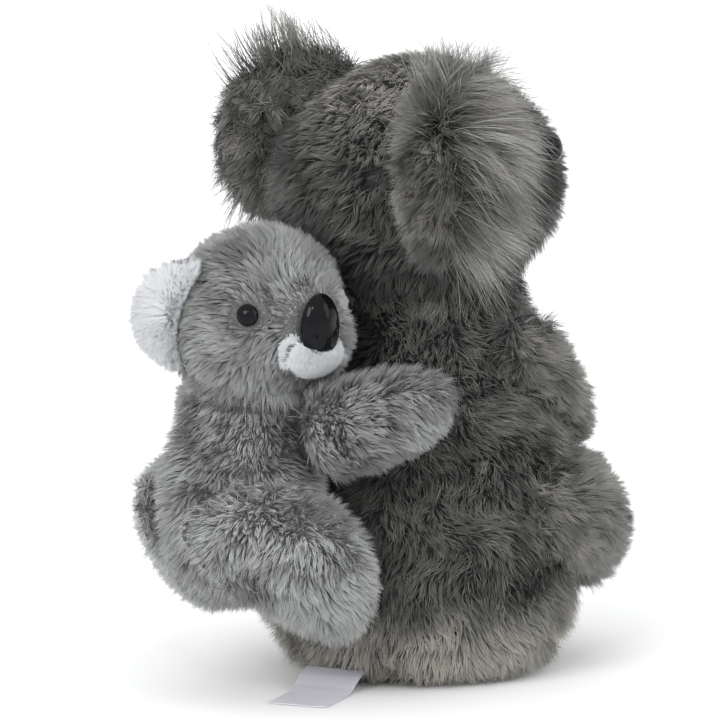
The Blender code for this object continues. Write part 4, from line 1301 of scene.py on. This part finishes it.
# %% Label
satin, nodes, links, shader = new_material("label_satin", 0.36)
place = nodes.new("ShaderNodeTexCoord")
threads = nodes.new("ShaderNodeTexWave")
threads.inputs["Scale"].default_value = 900
threads.inputs["Distortion"].default_value = 0.6
links.new(place.outputs["Object"], threads.inputs["Vector"])
weave = ramp(nodes, links, threads.outputs["Fac"], ((0.2, (196, 195, 204)), (0.8, (214, 213, 222))))
links.new(weave, shader.inputs["Base Color"])
shader.inputs["Sheen Weight"].default_value = 0.2
tape_joint = joint_places["side_label"]
hinge, width_way = np.array(tape_joint["pos_m"]), np.array(tape_joint["axis"])
run_way = np.array([-width_way[1], width_way[0], 0])
cad_points, cad_faces = mesh_arrays(frame["nodes"]["side_label"].data)
cad_tree = tree_of(cad_points, cad_faces)
across = (cad_points - hinge) @ width_way
run = (cad_points - hinge) @ run_way
stations = np.linspace(run.min() + 0.2 * MM, run.max() - 0.4 * MM, 40)
line = []
for station in stations:
    above = Vector(hinge + run_way * station + width_way * across.mean() + [0, 0, 0.05])
    top = cad_tree.ray_cast(above, Vector((0, 0, -1)))[0]
    bottom = cad_tree.ray_cast(above - Vector((0, 0, 0.1)), Vector((0, 0, 1)))[0]
    line.append((station, (top.z + bottom.z) / 2))
line = np.array(line)

# %% The fold's section
LAYER, OPENING = 0.10 * MM, 0.17 * MM
slope = np.gradient(line[:, 1], line[:, 0])
steep = np.stack([-slope, np.ones(len(slope))], 1) / np.sqrt(1 + slope**2)[:, None]
upper, lower = line + steep * OPENING, line - steep * OPENING
angles = np.linspace(0.3, math.pi - 0.3, 9)
turn_round = [line[-1] + OPENING * np.array([math.sin(a), math.cos(a)]) for a in angles]
path_points = np.concatenate([upper, turn_round, lower[::-1]])
tangent = unit(np.gradient(path_points, axis=0))
beside = np.stack([-tangent[:, 1], tangent[:, 0]], 1)
section = np.concatenate([path_points + beside * LAYER, (path_points - beside * LAYER)[::-1]])
print(len(section), "points round the folded tape's section")

# %% The tape's mesh
COLUMNS = 36
half_across = (across.max() - across.min()) / 2
rows = []
for column in np.linspace(-1, 1, COLUMNS):
    ripple = 0.10 * MM * math.sin(column * 5) * np.clip(section[:, 0] / stations[-1], 0, 1)
    spot = hinge + np.outer(section[:, 0], run_way) + width_way * (across.mean() + column * half_across)
    spot[:, 2] = np.maximum(section[:, 1] + ripple, 0.25 * MM)
    rows.append(spot)
count = len(section)
tape_points = np.concatenate(rows)
tape_faces = []
for column in range(COLUMNS - 1):
    for step in range(count):
        a, b = column * count + step, column * count + (step + 1) % count
        tape_faces.append((a, b, b + count, a + count))
for step in range(count // 2 - 1):
    for first, flip in ((0, False), ((COLUMNS - 1) * count, True)):
        quad = (first + step, first + count - 1 - step, first + count - 2 - step, first + step + 1)
        tape_faces.append(quad[::-1] if flip else quad)
tape_mesh = bpy.data.meshes.new("folded_tape")
tape_mesh.from_pydata(tape_points.tolist(), [], tape_faces)
bm = bmesh.new()
bm.from_mesh(tape_mesh)
bmesh.ops.recalc_face_normals(bm, faces=bm.faces)
bm.to_mesh(tape_mesh)
bm.free()
tape = link_mesh("folded_tape", tape_mesh, satin)
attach(tape, "side_label")
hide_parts("side_label")

# %% [markdown]
# ## Floor and light
# A plain pale floor and a bright, even sky, with one soft key light from behind the camera's left shoulder.

# %% Stage
def sees_backdrop(nodes, links):
    """1 for rays from the camera, and for those in gloss and glass: these see the backdrop's own white."""
    rays = nodes.new("ShaderNodeLightPath")
    total = rays.outputs["Is Camera Ray"]
    for kind in ("Is Glossy Ray", "Is Transmission Ray"):
        larger = nodes.new("ShaderNodeMath")
        larger.operation = "MAXIMUM"
        links.new(total, larger.inputs[0])
        links.new(rays.outputs[kind], larger.inputs[1])
        total = larger.outputs["Value"]
    return total


floor_mesh = bpy.data.meshes.new("floor")
floor_mesh.from_pydata([(-6, -6, 0), (6, -6, 0), (6, 6, 0), (-6, 6, 0)], [], [(0, 1, 2, 3)])
floor = bpy.data.objects.new("floor", floor_mesh)
bpy.context.scene.collection.objects.link(floor)
pale, nodes, links, shader = new_material("floor", 0.9)
shader.inputs["Specular IOR Level"].default_value = 0.1
white = nodes.new("ShaderNodeMix")
white.data_type = "RGBA"
white.inputs["A"].default_value = (0.8, 0.8, 0.8, 1)
white.inputs["B"].default_value = (0.93, 0.93, 0.93, 1)
links.new(sees_backdrop(nodes, links), white.inputs["Factor"])
links.new(white.outputs["Result"], shader.inputs["Base Color"])
floor_mesh.materials.append(pale)
floor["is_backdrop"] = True
print("floor", round(floor.dimensions.x, 2), "m wide")

# %% Sky
world = bpy.data.worlds.new("studio")
bpy.context.scene.world = world
world.use_nodes = True
nodes, links = world.node_tree.nodes, world.node_tree.links
sky = nodes["Background"]
sky.inputs["Color"].default_value = (0.985, 0.99, 1, 1)
sky.inputs["Strength"].default_value = 1.15
backdrop = nodes.new("ShaderNodeBackground")
backdrop.inputs["Color"].default_value = (1, 1, 1, 1)
choose = nodes.new("ShaderNodeMixShader")
links.new(sees_backdrop(nodes, links), choose.inputs["Fac"])
links.new(sky.outputs["Background"], choose.inputs[1])
links.new(backdrop.outputs["Background"], choose.inputs[2])
links.new(choose.outputs["Shader"], nodes["World Output"].inputs["Surface"])

# %% Lamps
def sun(name, towards, strength, spread):
    """A soft, even light that shines from a direction."""
    data = bpy.data.lights.new(name, "SUN")
    data.energy = strength
    data.angle = math.radians(spread)
    made = bpy.data.objects.new(name, data)
    made.rotation_mode = "QUATERNION"
    made.rotation_quaternion = Vector(towards).to_track_quat("Z", "Y")
    bpy.context.scene.collection.objects.link(made)


sun("key", back * 0.8 - right * 0.5 + np.array([0, 0, 0.35]), 1.3, 28)
sun("side", back * 0.3 + right * 0.8 + np.array([0, 0, 0.3]), 0.7, 40)
sun("spark", back * 0.9 - right * 0.1 + np.array([0, 0, 0.5]), 0.25, 7)
bpy.context.scene.view_settings.view_transform = "Standard"
print(len(bpy.data.lights), "lamps")
